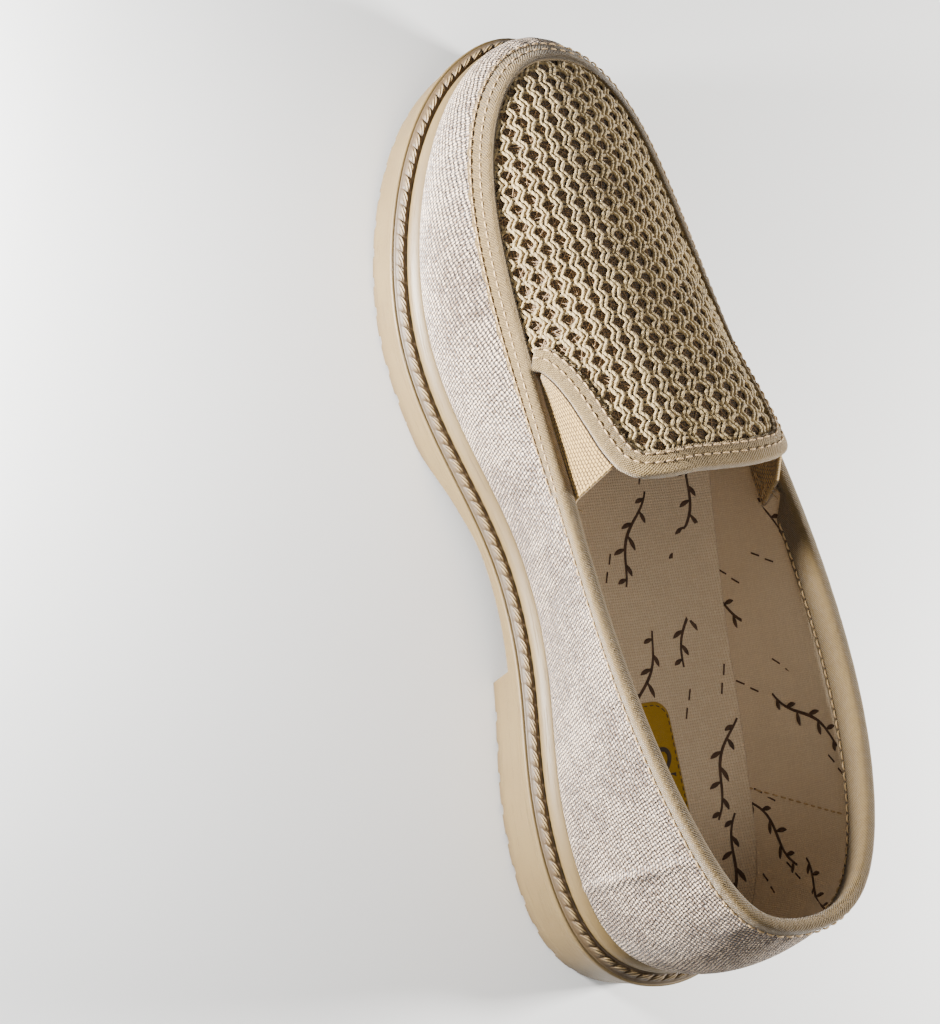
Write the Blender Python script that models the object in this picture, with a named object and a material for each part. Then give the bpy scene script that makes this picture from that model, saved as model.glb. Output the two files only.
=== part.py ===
"""House slipper, right shoe: moulded sole, linen band, crocheted vamp plug, elastic gores, canvas inside.

The toe points to -Y, the medial side faces +X, and the sole stands on z = 0. A place round the shoe is
told by its turn: 0 at the back of the heel, 11 at the toe along the medial side, and on to 22 back
along the lateral side. Turn t and turn 22 - t lie across the shoe from each other.
"""
import math
from typing import NamedTuple

import bmesh
import bpy
import numpy as np

MM = 0.001

# Overall sizes
LENGTH = 285 * MM
BALL_WIDTH = 104 * MM
SEAT_HEIGHT = 29 * MM
COLLAR_HEIGHT = 90 * MM
INSTEP_HEIGHT = 79.5 * MM
GAP = 0.3 * MM

# Sole
HEEL_LIFT = 9 * MM
TOE_SPRING = 8 * MM
LEDGE_DROP = 7.8 * MM
LEDGE_RISE = 2.2 * MM
ROPE_WIDTH = 3.2 * MM
ROPE_HEIGHT = 1.5 * MM
BEAD_PROUD = 1.1 * MM
PARTING_DROP = 2.6 * MM
PARTING_PROUD = 0.5 * MM
EDGE_ROUND = 1.2 * MM
TREAD_BORDER = 9 * MM
NOTCH_PITCH = 9 * MM
NOTCH_WIDTH = 2.6 * MM
NOTCH_DEPTH = 1.2 * MM
NOTCH_REACH = 7 * MM
NOTCH_OVERSHOOT = 3 * MM

# Upper
WALL = 2 * MM
UPPER_INSET = 4.5 * MM
WALL_BELLY = 5 * MM
# shares of the band's own direction in the vamp's arch where it leaves the rim, and the arch's pull
SHOULDER_THROAT = 0.75
SHOULDER_TOE = 0.45
ARCH_PULL = 1.05

# Tapes, gores, insole and label
TAPE_THICK = 1.1 * MM
BINDING_OUTER = 7 * MM
BINDING_INNER = 9 * MM
BINDING_LIP = 2.4 * MM
THROAT_TAPE_WIDTH = 8.5 * MM
THROAT_TAPE_HEM = 4 * MM
GORE_THICK = 1.2 * MM
GORE_TUCK = 2 * MM
GORE_PLAY = 0.7 * MM
INSOLE_THICK = 3 * MM
INSOLE_CUP = 2 * MM
INSOLE_PLAY = 0.8 * MM
LABEL_WIDTH = 24 * MM
LABEL_LENGTH = 37 * MM
LABEL_CORNER = 5 * MM
LABEL_THICK = 0.6 * MM
LABEL_STATION = 0.213
LABEL_SIDE = 0.02

TOE = 11
ROUND = 2 * TOE
# turns of the gore gap's front end, of the gore's two lower ends and of the heel's front face
PLUG_CORNER = 6.12
GORE_REAR = 5.13
GORE_FRONT = 5.78
HEEL_FRONT = 4.0
HEEL_FRONT_SLOPE = 0.06
# rises along the plug's edge where the gore's two upper ends and the throat tape's ends lie
GORE_TOP = 0.44
GORE_TIP = 0.16
TAPE_START = 0.095


class SoleSection(NamedTuple):
    """Stations are shares of LENGTH, sides of half BALL_WIDTH, the feather line of SEAT_HEIGHT."""
    medial_station: float
    medial_side: float
    lateral_station: float
    lateral_side: float
    feather: float


SOLE_SECTIONS = (
    SoleSection(-0.004, -0.04, -0.004, -0.04, 1.000),
    SoleSection(0.020, 0.36, 0.020, -0.44, 0.995),
    SoleSection(0.090, 0.60, 0.090, -0.67, 0.975),
    SoleSection(0.205, 0.65, 0.205, -0.76, 0.920),
    SoleSection(0.325, 0.57, 0.335, -0.82, 0.848),
    SoleSection(0.450, 0.60, 0.465, -0.91, 0.770),
    SoleSection(0.570, 0.80, 0.595, -1.01, 0.718),
    SoleSection(0.680, 0.93, 0.715, -1.00, 0.735),
    SoleSection(0.790, 0.89, 0.825, -0.88, 0.810),
    SoleSection(0.890, 0.71, 0.918, -0.65, 0.910),
    SoleSection(0.962, 0.42, 0.980, -0.34, 1.010),
    SoleSection(0.998, 0.03, 0.998, 0.03, 1.060),
)


class RimSection(NamedTuple):
    """Top edge of the band: shares of LENGTH, half BALL_WIDTH and COLLAR_HEIGHT, belly of WALL_BELLY."""
    medial_station: float
    medial_side: float
    medial_height: float
    lateral_station: float
    lateral_side: float
    lateral_height: float
    belly: float


RIM_SECTIONS = (
    RimSection(0.049, -0.02, 1.000, 0.049, -0.02, 1.000, 1.00),
    RimSection(0.062, 0.26, 0.990, 0.062, -0.31, 0.995, 0.90),
    RimSection(0.115, 0.45, 0.950, 0.115, -0.56, 0.960, 0.60),
    RimSection(0.215, 0.56, 0.860, 0.215, -0.76, 0.885, 0.35),
    RimSection(0.335, 0.60, 0.755, 0.335, -0.86, 0.790, 0.20),
    RimSection(0.460, 0.605, 0.670, 0.460, -0.855, 0.700, 0.35),
    RimSection(0.585, 0.625, 0.615, 0.585, -0.775, 0.625, 0.70),
    RimSection(0.700, 0.645, 0.575, 0.700, -0.675, 0.575, 0.85),
    RimSection(0.800, 0.605, 0.540, 0.800, -0.575, 0.542, 0.85),
    RimSection(0.880, 0.475, 0.520, 0.880, -0.450, 0.522, 0.80),
    RimSection(0.932, 0.255, 0.508, 0.932, -0.250, 0.508, 0.75),
    RimSection(0.947, 0.000, 0.503, 0.947, 0.000, 0.503, 0.70),
)


class RidgeSection(NamedTuple):
    """Top line of the vamp: turn, share of LENGTH, share of INSTEP_HEIGHT."""
    turn: float
    station: float
    height: float


RIDGE_SECTIONS = (
    RidgeSection(5, 0.482, 1.000),
    RidgeSection(6, 0.575, 0.922),
    RidgeSection(7, 0.660, 0.848),
    RidgeSection(8, 0.735, 0.786),
    RidgeSection(9, 0.795, 0.738),
    RidgeSection(10, 0.835, 0.708),
    RidgeSection(11, 0.850, 0.698),
    RidgeSection(12, 0.835, 0.708),
)


class TreadSection(NamedTuple):
    """Underside: turn, share of HEEL_LIFT, share of TOE_SPRING."""
    turn: float
    lift: float
    spring: float


TREAD_SECTIONS = (
    TreadSection(0.0, 0.00, 0.00),
    TreadSection(HEEL_FRONT, 0.00, 0.00),
    TreadSection(HEEL_FRONT + HEEL_FRONT_SLOPE, 1.00, 0.00),
    TreadSection(5.0, 0.95, 0.00),
    TreadSection(5.5, 0.60, 0.00),
    TreadSection(6.1, 0.00, 0.00),
    TreadSection(7.3, 0.00, 0.00),
    TreadSection(8.0, 0.00, 0.08),
    TreadSection(9.0, 0.00, 0.32),
    TreadSection(10.0, 0.00, 0.72),
    TreadSection(11.0, 0.00, 1.00),
)


class PlugEdge(NamedTuple):
    """Rear edge of the vamp plug: share of the way from the rim to the ridge, and turn."""
    rise: float
    turn: float


PLUG_EDGE = (
    PlugEdge(0.00, PLUG_CORNER),
    PlugEdge(0.10, 6.00),
    PlugEdge(0.20, 5.83),
    PlugEdge(0.30, 5.60),
    PlugEdge(0.38, 5.38),
    PlugEdge(0.46, 5.23),
    PlugEdge(0.60, 5.14),
    PlugEdge(0.80, 5.09),
    PlugEdge(1.00, 5.07),
)


class BindingSection(NamedTuple):
    """Edge binding: turn, share of BINDING_INNER folded inside, and how far it lies over the plug."""
    turn: float
    inner: float
    over: float


BINDING_SECTIONS = (
    BindingSection(0.00, 1.00, 0.0),
    BindingSection(4.35, 1.00, 0.0),
    BindingSection(4.80, 0.33, 0.0),
    BindingSection(5.40, 0.33, 0.0),
    BindingSection(5.75, 0.02, 0.0),
    BindingSection(6.00, 0.02, 1.0),
    BindingSection(11.00, 0.02, 1.0),
)


# Curves

def closed_curve(rows, turn):
    """Smooth closed curve through the rows, one unit of turn a row (periodic cubic spline)."""
    points = np.asarray(rows, float)
    count = len(points)
    system = 4 * np.eye(count) + np.roll(np.eye(count), 1, 1) + np.roll(np.eye(count), -1, 1)
    bend = np.linalg.solve(system, 6 * (np.roll(points, -1, 0) - 2 * points + np.roll(points, 1, 0)))
    turn = np.asarray(turn, float) % count
    here = np.floor(turn).astype(int) % count
    ahead = (here + 1) % count
    b = (turn - np.floor(turn))[..., None]
    a = 1 - b
    straight = a * points[here] + b * points[ahead]
    return straight + ((a ** 3 - a) * bend[here] + (b ** 3 - b) * bend[ahead]) / 6


def table_curve(xs, ys, x):
    """Smooth curve through a table that never swings past its values (monotone cubic)."""
    xs = np.asarray(xs, float)
    ys = np.asarray(ys, float)
    step = np.diff(xs)
    rate = np.diff(ys) / step
    before, after = rate[:-1], rate[1:]
    inner = np.where(before * after > 0, 2 * before * after / (before + after + 1e-12), 0)
    slope = np.concatenate([rate[:1], inner, rate[-1:]])
    x = np.clip(x, xs[0], xs[-1])
    i = np.clip(np.searchsorted(xs, x, side="right") - 1, 0, len(step) - 1)
    t = (x - xs[i]) / step[i]
    start = ys[i] * (2 * t ** 3 - 3 * t ** 2 + 1) + step[i] * slope[i] * (t ** 3 - 2 * t ** 2 + t)
    return start + ys[i + 1] * (3 * t ** 2 - 2 * t ** 3) + step[i] * slope[i + 1] * (t ** 3 - t ** 2)


def round_the_shoe(medial, lateral):
    """Rows by turn: up the medial side, back down the lateral side, ends shared."""
    return list(medial) + list(lateral[-2:0:-1])


def half_turn(turn):
    """Turn measured from the heel on either side, 0 to 11."""
    turn = np.asarray(turn, float) % ROUND
    return np.minimum(turn, ROUND - turn)


def by_section(values, turn):
    """One value a section, the same on both sides."""
    return closed_curve([[value] for value in round_the_shoe(values, values)], turn)[..., 0]


def place(station, side, height):
    """Point of the shoe from its station behind the toe line, its side and its height."""
    return np.stack([side, LENGTH / 2 - station, height + 0 * side], -1)


def unit(vectors):
    return vectors / np.linalg.norm(vectors, axis=-1, keepdims=True)


def eased(share):
    share = np.clip(share, 0, 1)
    return share * share * (3 - 2 * share)


# Sole lines

def outline(turn):
    """Plan outline of the sole's ledge: station and side."""
    half = BALL_WIDTH / 2
    medial = [(r.medial_station * LENGTH, r.medial_side * half) for r in SOLE_SECTIONS]
    lateral = [(r.lateral_station * LENGTH, r.lateral_side * half) for r in SOLE_SECTIONS]
    return closed_curve(round_the_shoe(medial, lateral), turn)


def outline_normal(turn):
    """Outward direction of the outline, in station and side."""
    along = outline(np.asarray(turn) + 0.01) - outline(np.asarray(turn) - 0.01)
    return unit(np.stack([-along[..., 1], along[..., 0]], -1))


def outward(turn):
    normal = outline_normal(turn)
    return np.stack([normal[..., 1], -normal[..., 0], 0 * normal[..., 0]], -1)


def feather(turn):
    """Height of the line where the upper meets the sole."""
    return by_section([r.feather * SEAT_HEIGHT for r in SOLE_SECTIONS], turn)


def tread(turn):
    """Height of the underside."""
    half = half_turn(turn)
    heights = [r.lift * HEEL_LIFT + r.spring * TOE_SPRING for r in TREAD_SECTIONS]
    return table_curve([r.turn for r in TREAD_SECTIONS], heights, half)


def sole_point(turn, inset, height):
    at = outline(turn) - outline_normal(turn) * inset
    return place(at[..., 0], at[..., 1], height)


# Upper surface

def rim(turn):
    """Top edge of the band, which is the vamp plug's seam in front of the gores."""
    half = BALL_WIDTH / 2
    medial = [(r.medial_station * LENGTH, r.medial_side * half, r.medial_height * COLLAR_HEIGHT)
              for r in RIM_SECTIONS]
    lateral = [(r.lateral_station * LENGTH, r.lateral_side * half, r.lateral_height * COLLAR_HEIGHT)
               for r in RIM_SECTIONS]
    at = closed_curve(round_the_shoe(medial, lateral), turn)
    return place(at[..., 0], at[..., 1], at[..., 2])


def band(turn, rise):
    """Outside of the band, from the feather line (rise 0) to the rim (rise 1), with its belly."""
    turn, rise = np.broadcast_arrays(np.asarray(turn, float), np.asarray(rise, float))
    foot = sole_point(turn, UPPER_INSET, feather(turn))
    top = rim(turn)
    belly = WALL_BELLY * by_section([r.belly for r in RIM_SECTIONS], turn)
    bulge = belly * np.sin(math.pi * np.clip(rise, 0, 1) ** 0.85)
    return foot + (top - foot) * rise[..., None] + outward(turn) * bulge[..., None]


def band_height(turn):
    return np.linalg.norm(rim(turn) - band(turn, 0), axis=-1)


def ridge(half):
    """Top line of the vamp from the throat to the toe seam's crown."""
    turns = [r.turn for r in RIDGE_SECTIONS]
    station = table_curve(turns, [r.station * LENGTH for r in RIDGE_SECTIONS], half)
    height = table_curve(turns, [r.height * INSTEP_HEIGHT for r in RIDGE_SECTIONS], half)
    return place(station, 0 * station, height)


def vamp(turn, rise):
    """Outside of the vamp, from the rim (rise 0) over to the ridge (rise 1): a cubic arch that leaves
    the rim between the band's own direction and the chord, and meets the ridge level across."""
    turn, rise = np.broadcast_arrays(np.asarray(turn, float), np.asarray(rise, float))
    half = half_turn(turn)
    seam = rim(turn)
    top = ridge(half)
    chord = top - seam
    span = np.linalg.norm(chord, axis=-1, keepdims=True)
    upward = unit(band(turn, 1.0) - band(turn, 0.97))
    fullness = SHOULDER_TOE + (SHOULDER_THROAT - SHOULDER_TOE) * eased((8 - half) / 3)[..., None]
    leave = unit(upward * fullness + chord / span * (1 - fullness)) * span * ARCH_PULL
    fall = ridge(np.full_like(half, 7.5)) - ridge(np.full_like(half, 9.5))
    arrive = chord.copy()
    arrive[..., 2] = chord[..., 1] * fall[..., 2] / fall[..., 1]
    arrive = unit(arrive) * span * ARCH_PULL
    t = rise[..., None]
    low = seam * (2 * t ** 3 - 3 * t ** 2 + 1) + leave * (t ** 3 - 2 * t ** 2 + t)
    return low + top * (3 * t ** 2 - 2 * t ** 3) + arrive * (t ** 3 - t ** 2)


def surface_normal(surface, turn, rise):
    """Outward normal of a surface of turn and rise, found from its two slopes just below the ridge,
    where the slope along the shoe would vanish at the toe."""
    turn, rise = np.broadcast_arrays(np.asarray(turn, float), np.asarray(rise, float))
    rise = np.clip(rise, 0, 0.97)
    low = np.clip(rise - 0.01, 0, 1)
    along = surface(turn + 0.02, rise) - surface(turn - 0.02, rise)
    up = surface(turn, low + 0.02) - surface(turn, low)
    return unit(np.cross(up, along))


def shifted(surface, turn, rise, out):
    """Point of a surface moved out along its normal."""
    out = np.asarray(out, float)
    return surface(turn, rise) + surface_normal(surface, turn, rise) * out[..., None]


def plug_edge_turn(rise):
    return table_curve([r.rise for r in PLUG_EDGE], [r.turn for r in PLUG_EDGE], rise)


# Meshes

def add_piece(name, points, faces, colour, roughness):
    """One closed solid with its own material, its faces turned outwards."""
    mesh = bpy.data.meshes.new(name)
    mesh.from_pydata([tuple(point) for point in points], [], faces)
    body = bmesh.new()
    body.from_mesh(mesh)
    bmesh.ops.recalc_face_normals(body, faces=body.faces)
    body.to_mesh(mesh)
    body.free()
    piece = bpy.data.objects.new(name, mesh)
    bpy.context.collection.objects.link(piece)
    material = bpy.data.materials.new(name)
    material.use_nodes = True
    shader = material.node_tree.nodes["Principled BSDF"]
    shader.inputs["Base Color"].default_value = (*colour, 1)
    shader.inputs["Roughness"].default_value = roughness
    mesh.materials.append(material)
    mesh.shade_smooth()
    mesh.set_sharp_from_angle(angle=math.radians(40))
    return piece


def thick_sheet(outer, inner, faces):
    """Closes two matching sheets along every free edge, so that they bound one solid."""
    count = len(outer)
    sides = set()
    for face in faces:
        sides.update(zip(face, face[1:] + face[:1]))
    free = [side for side in sides if side[::-1] not in sides]
    back = [tuple(index + count for index in face[::-1]) for face in faces]
    walls = [(b, a, a + count, b + count) for a, b in free]
    return np.concatenate([outer, inner]), [*faces, *back, *walls]


def grid_faces(rows, columns, closed=False):
    """Quads of a grid stored row by row; a closed grid joins its last column to its first."""
    faces = []
    for row in range(rows - 1):
        for column in range(columns if closed else columns - 1):
            ahead = (column + 1) % columns
            low, high = row * columns, (row + 1) * columns
            faces.append((low + column, low + ahead, high + ahead, high + column))
    return faces


def across_faces(count):
    """Strips that close a ring of an even count by joining points that lie across from each other."""
    faces = [(0, 1, count - 1)]
    for i in range(1, count // 2 - 1):
        faces.append((i, i + 1, count - i - 1, count - i))
    faces.append((count // 2 - 1, count // 2, count // 2 + 1))
    return faces


def ring_turns(front_steps, rear_steps):
    """Turns round the shoe, with a column on each plug corner and both ends shared."""
    rear = np.linspace(0, PLUG_CORNER, rear_steps, endpoint=False)
    front = np.linspace(PLUG_CORNER, TOE, front_steps + 1)
    medial = np.concatenate([rear, front])
    return np.concatenate([medial, ROUND - medial[-2:0:-1]])


# Pieces

def build_outsole():
    """Rings from the tread up to the seat, then strips across the tread and across the seat."""
    half = np.linspace(0, TOE, 51)
    heel_face = [HEEL_FRONT, HEEL_FRONT + HEEL_FRONT_SLOPE]
    half = np.sort(np.concatenate([half[np.abs(half - HEEL_FRONT) > 0.12], heel_face]))
    turn = np.concatenate([half, ROUND - half[-2:0:-1]])
    floor = tread(turn)
    seat = feather(turn)
    ledge = seat - LEDGE_DROP
    bead_foot = ledge + LEDGE_RISE
    ledge_inset = ROPE_WIDTH + 2 * GAP
    rings = [
        (TREAD_BORDER, floor),
        (EDGE_ROUND, floor),
        (0.4 * EDGE_ROUND, floor + EDGE_ROUND),
        (0.0, ledge - PARTING_DROP),
        (-PARTING_PROUD, ledge - 0.75 * PARTING_DROP),
        (-PARTING_PROUD, ledge - 0.2 * PARTING_DROP),
        (0.0, ledge),
        (ledge_inset, bead_foot - 0.25 * LEDGE_RISE),
        (ledge_inset, bead_foot),
        (UPPER_INSET - BEAD_PROUD, 0.5 * (bead_foot + seat)),
        (UPPER_INSET - 0.5 * BEAD_PROUD, seat - GAP - 0.25 * BEAD_PROUD),
        (UPPER_INSET + BEAD_PROUD, seat - GAP),
    ]
    points = np.concatenate([sole_point(turn, inset, height) for inset, height in rings])
    count = len(turn)
    faces = grid_faces(len(rings), count, closed=True)
    faces += [face[::-1] for face in across_faces(count)]
    top = (len(rings) - 1) * count
    faces += [tuple(index + top for index in face) for face in across_faces(count)]
    return add_piece("outsole", points, faces, (0.74, 0.66, 0.54), 0.55)


def notch_turns():
    """Even pitch round the tread's edge, on the heel and the forefoot but not under the arch."""
    fine = np.linspace(0, ROUND, 2001)
    edge = outline(fine)
    length = np.concatenate([[0], np.cumsum(np.linalg.norm(np.diff(edge, axis=0), axis=1))])
    count = round(length[-1] / NOTCH_PITCH)
    turns = np.interp((np.arange(count) + 0.5) * length[-1] / count, length, fine)
    half = half_turn(turns)
    return turns[(half < HEEL_FRONT - 0.15) | (half > 6.3)]


def cut_tread_notches(outsole):
    """Short open notches across the tread's edge leave the lugs between them."""
    points, faces = [], []
    box = [(0, 1, 2, 3), (7, 6, 5, 4), (0, 4, 5, 1), (1, 5, 6, 2), (2, 6, 7, 3), (3, 7, 4, 0)]
    corners = [(NOTCH_OVERSHOOT, -1), (NOTCH_OVERSHOOT, 1), (-NOTCH_REACH, 1), (-NOTCH_REACH, -1)]
    for turn in notch_turns():
        away = outward(turn)
        along = np.array([-away[1], away[0], 0]) * NOTCH_WIDTH / 2
        edge = sole_point(turn, 0.0, tread(turn))
        first = len(points)
        for height in (-NOTCH_DEPTH, NOTCH_DEPTH):
            for reach, side in corners:
                points.append(edge + away * reach + along * side + np.array([0, 0, height]))
        faces += [tuple(index + first for index in face) for face in box]
    cutter = add_piece("tread_notches", points, faces, (0.5, 0.5, 0.5), 0.5)
    cutter.hide_render = True
    cutter.display_type = "WIRE"
    cut = outsole.modifiers.new("tread notches", "BOOLEAN")
    cut.operation = "DIFFERENCE"
    cut.object = cutter


def build_rope_trim():
    """Flat six-sided ring that lies on the ledge, between the side wall's edge and the bead."""
    turn = ring_turns(22, 22)
    ledge = feather(turn) - LEDGE_DROP
    low, high = GAP, GAP + ROPE_WIDTH
    rise = 0.75 * LEDGE_RISE
    ring = [
        (low, ledge + GAP + 0.10 * rise),
        (high - GAP, ledge + GAP + rise),
        (high - GAP, ledge + GAP + rise + 0.5 * ROPE_HEIGHT),
        (0.5 * (low + high), ledge + 0.5 * rise + ROPE_HEIGHT + GAP),
        (low, ledge + GAP + 0.10 * rise + 0.6 * ROPE_HEIGHT),
    ]
    points = np.concatenate([sole_point(turn, inset, height) for inset, height in [*ring, ring[0]]])
    count = len(turn)
    faces = grid_faces(len(ring) + 1, count, closed=True)
    last = len(ring) * count
    faces = [tuple(index - last if index >= last else index for index in face) for face in faces]
    return add_piece("rope_trim", points[:last], faces, (0.42, 0.34, 0.24), 0.8)


def build_upper():
    """The band all round and the vamp plug in front, one sheet of real thickness, open elsewhere."""
    front, rear, band_rows, plug_rows = 20, 20, 6, 8
    turn = ring_turns(front, rear)
    count = len(turn)
    rises = np.linspace(0, 1, band_rows)
    outer = [shifted(band, turn, rise, 0 * turn) for rise in rises]
    inner = [shifted(band, turn, rise, 0 * turn - WALL) for rise in rises]
    seam_start = (band_rows - 1) * count
    seam = np.arange(rear, rear + 2 * front + 1)
    bisector = unit(surface_normal(band, turn[seam], 1) + surface_normal(vamp, turn[seam], 0))
    inner[-1][seam] = outer[-1][seam] - bisector * WALL
    inner[0][:, 2] = outer[0][:, 2]
    faces = grid_faces(band_rows, count, closed=True)
    share = np.linspace(0, 1, front + 1)
    row_before = seam_start + seam
    for k in range(1, plug_rows + 1):
        rise = k / plug_rows
        first = plug_edge_turn(rise)
        medial = first + (TOE - first) * share
        both = medial if k == plug_rows else np.concatenate([medial, ROUND - medial[-2::-1]])
        start = sum(len(row) for row in outer)
        outer.append(shifted(vamp, both, rise, 0 * both))
        inner.append(shifted(vamp, both, rise, 0 * both - WALL))
        row = start + np.arange(len(both))
        if k == plug_rows:
            row = np.concatenate([row, row[-2::-1]])
        for a in range(2 * front):
            face = (row_before[a], row_before[a + 1], row[a + 1], row[a])
            faces.append(tuple(int(index) for index in face))
        row_before = row
    points, faces = thick_sheet(np.concatenate(outer), np.concatenate(inner), faces)
    return add_piece("upper", points, faces, (0.62, 0.55, 0.48), 0.9)


def binding_column(name, turn):
    half = half_turn(turn)
    return np.interp(half, [r.turn for r in BINDING_SECTIONS],
                     [getattr(r, name) for r in BINDING_SECTIONS])


def build_edge_binding():
    """One ring of tape: down the band's outside, over its rim, then down inside it at the collar or
    onto the plug at the front."""
    turn = ring_turns(20, 40)
    down = 1 - BINDING_OUTER / band_height(turn)
    folded = np.maximum(1 - binding_column("inner", turn) * BINDING_INNER / band_height(turn), 0.1)
    over = eased(binding_column("over", turn))[:, None]
    side = surface_normal(band, turn, 1.0)
    upward = unit(band(turn, 1.0) - band(turn, 0.97))
    front = half_turn(turn) > 5
    vamp_turn = np.where(front, turn, 6.0)
    span = np.linalg.norm(ridge(half_turn(vamp_turn)) - rim(vamp_turn), axis=-1)
    lip = BINDING_LIP / span

    def sheet(out):
        low = shifted(band, turn, down, 0 * turn + out)
        inside = WALL + out
        outer_top = rim(turn) + side * out + upward * out
        inner_top = rim(turn) - side * inside + upward * out
        hem = shifted(band, turn, folded, 0 * turn - inside)
        corner = unit(side + surface_normal(vamp, vamp_turn, 0)) * out * 1.15 + rim(turn)
        middle = shifted(vamp, vamp_turn, 0.5 * lip, 0 * turn + out)
        end = shifted(vamp, vamp_turn, lip, 0 * turn + out)
        folds = ((outer_top, corner), (inner_top, middle), (hem, end))
        return np.concatenate([low, *(a + (b - a) * over for a, b in folds)])

    faces = grid_faces(4, len(turn), closed=True)
    points, faces = thick_sheet(sheet(GAP + TAPE_THICK), sheet(GAP), faces)
    return add_piece("edge_binding", points, faces, (0.62, 0.52, 0.38), 0.85)


def beside(turn, rise, toward, distance):
    """Turn and rise of the vamp point a distance away in the given direction along the surface."""
    by_turn = (vamp(turn + 0.01, rise) - vamp(turn - 0.01, rise)) / 0.02
    by_rise = (vamp(turn, rise + 0.01) - vamp(turn, rise - 0.01)) / 0.02
    a = np.sum(by_turn ** 2, -1)
    b = np.sum(by_turn * by_rise, -1)
    c = np.sum(by_rise ** 2, -1)
    u = np.sum(by_turn * toward, -1) * distance
    v = np.sum(by_rise * toward, -1) * distance
    scale = a * c - b * b
    return turn + (c * u - b * v) / scale, rise + (a * v - b * u) / scale


def plug_edge_frame(rise, medial):
    """Along the plug's rear edge on one side: turn, edge point, normal, and the way into the plug."""
    turn = plug_edge_turn(rise)
    turn = turn if medial else ROUND - turn
    edge = vamp(turn, rise)
    normal = surface_normal(vamp, turn, rise)
    into = unit(np.cross(unit(np.gradient(edge, axis=0)), normal))
    return turn, edge, normal, -into if medial else into


def build_throat_tape():
    """Tape along the plug's rear edge and down both round corners, folded over the edge."""
    rise = np.concatenate([np.linspace(TAPE_START, 0.46, 10), np.linspace(0.54, 0.96, 4)])

    def side(out, medial):
        turn, edge, normal, into = plug_edge_frame(rise, medial)
        rows = []
        for share in (1.0, 0.5):
            there = beside(turn, rise, into, share * THROAT_TAPE_WIDTH)
            rows.append(shifted(vamp, *there, 0 * turn + out))
        rows.append(edge + (normal - into) * out)
        rows.append(edge - normal * (WALL + out) - into * out)
        hem = beside(turn, rise, into, THROAT_TAPE_HEM)
        rows.append(shifted(vamp, *hem, 0 * turn - WALL - out))
        return np.stack(rows)

    def sheet(out):
        both = np.concatenate([side(out, True), side(out, False)[:, ::-1]], axis=1)
        return both.reshape(-1, 3)

    faces = grid_faces(5, 2 * len(rise))
    points, faces = thick_sheet(sheet(GAP + TAPE_THICK), sheet(GAP), faces)
    return add_piece("throat_tape", points, faces, (0.70, 0.62, 0.48), 0.85)


def build_gore(name, medial):
    """Flat elastic web from inside the band's rim to the plug's corner, its rear edge free."""
    rise = np.linspace(GORE_TIP, GORE_TOP, 12)
    turn, _, _, into = plug_edge_frame(rise, medial)
    room = 2 * GAP + TAPE_THICK + GORE_PLAY
    turn, rise = beside(turn, rise, into, -room)
    top = shifted(vamp, turn, rise, 0 * turn - GAP)
    top_normal = surface_normal(vamp, turn, rise)
    low_turn = np.linspace(GORE_FRONT, GORE_REAR, 12)
    low_turn = low_turn if medial else ROUND - low_turn
    low_normal = surface_normal(band, low_turn, 1.0)
    tucked = band(low_turn, 1 - GORE_TUCK / band_height(low_turn))
    low = tucked - low_normal * (WALL + room)
    up = np.linspace(0, 1, 5)[:, None, None]
    outer = low + (top - low) * up
    inner = outer - unit(low_normal + (top_normal - low_normal) * up) * GORE_THICK
    faces = grid_faces(5, 12)
    points, faces = thick_sheet(outer.reshape(-1, 3), inner.reshape(-1, 3), faces)
    return add_piece(name, points, faces, (0.50, 0.38, 0.22), 0.8)


def insole_point(turn, across, height):
    """Point between the insole's edge at a turn (across 0) and the one across from it (across 1)."""
    inset = UPPER_INSET + WALL + INSOLE_PLAY
    near = sole_point(turn, inset, feather(turn))
    far = sole_point(ROUND - turn, inset, feather(turn))
    cup = INSOLE_CUP * np.abs(2 * across - 1) ** 4
    point = near + (far - near) * np.asarray(across)[..., None]
    point[..., 2] += height + cup * (height > 0)
    return point


def build_insole():
    """Sock on the sole's seat, cupped up a little at its edge, inside the band."""
    turn = np.linspace(0.35, TOE - 0.6, 44)[None, :]
    across = np.linspace(0, 1, 7)[:, None]
    turn, across = np.broadcast_arrays(turn, across)
    top = insole_point(turn, across, INSOLE_THICK)
    bottom = insole_point(turn, across, 0.0)
    points, faces = thick_sheet(top.reshape(-1, 3), bottom.reshape(-1, 3), grid_faces(*turn.shape))
    return add_piece("insole", points, faces, (0.80, 0.74, 0.64), 0.9)


def build_size_label():
    """Rounded label that lies on the insole at the heel seat."""
    ring = []
    for corner in range(4):
        for step in range(6):
            angle = math.radians(90 * corner + 18 * step)
            sides = (1 if corner in (0, 3) else -1, 1 if corner in (0, 1) else -1)
            ring.append((sides[0] * (LABEL_WIDTH / 2 - LABEL_CORNER) + LABEL_CORNER * math.cos(angle),
                         sides[1] * (LABEL_LENGTH / 2 - LABEL_CORNER) + LABEL_CORNER * math.sin(angle)))
    ring = np.array(ring)
    station = LABEL_STATION * LENGTH - ring[:, 1]
    side = LABEL_SIDE * BALL_WIDTH / 2 + ring[:, 0]
    turns = np.linspace(0.5, 6, 200)
    height = np.interp(station, outline(turns)[:, 0], feather(turns)) + INSOLE_THICK + 2 * GAP
    low = place(station, side, height)
    high = low + np.array([0, 0, LABEL_THICK])
    points, faces = thick_sheet(high, low, across_faces(len(ring)))
    return add_piece("size_label", points, faces, (0.72, 0.50, 0.16), 0.6)


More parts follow.
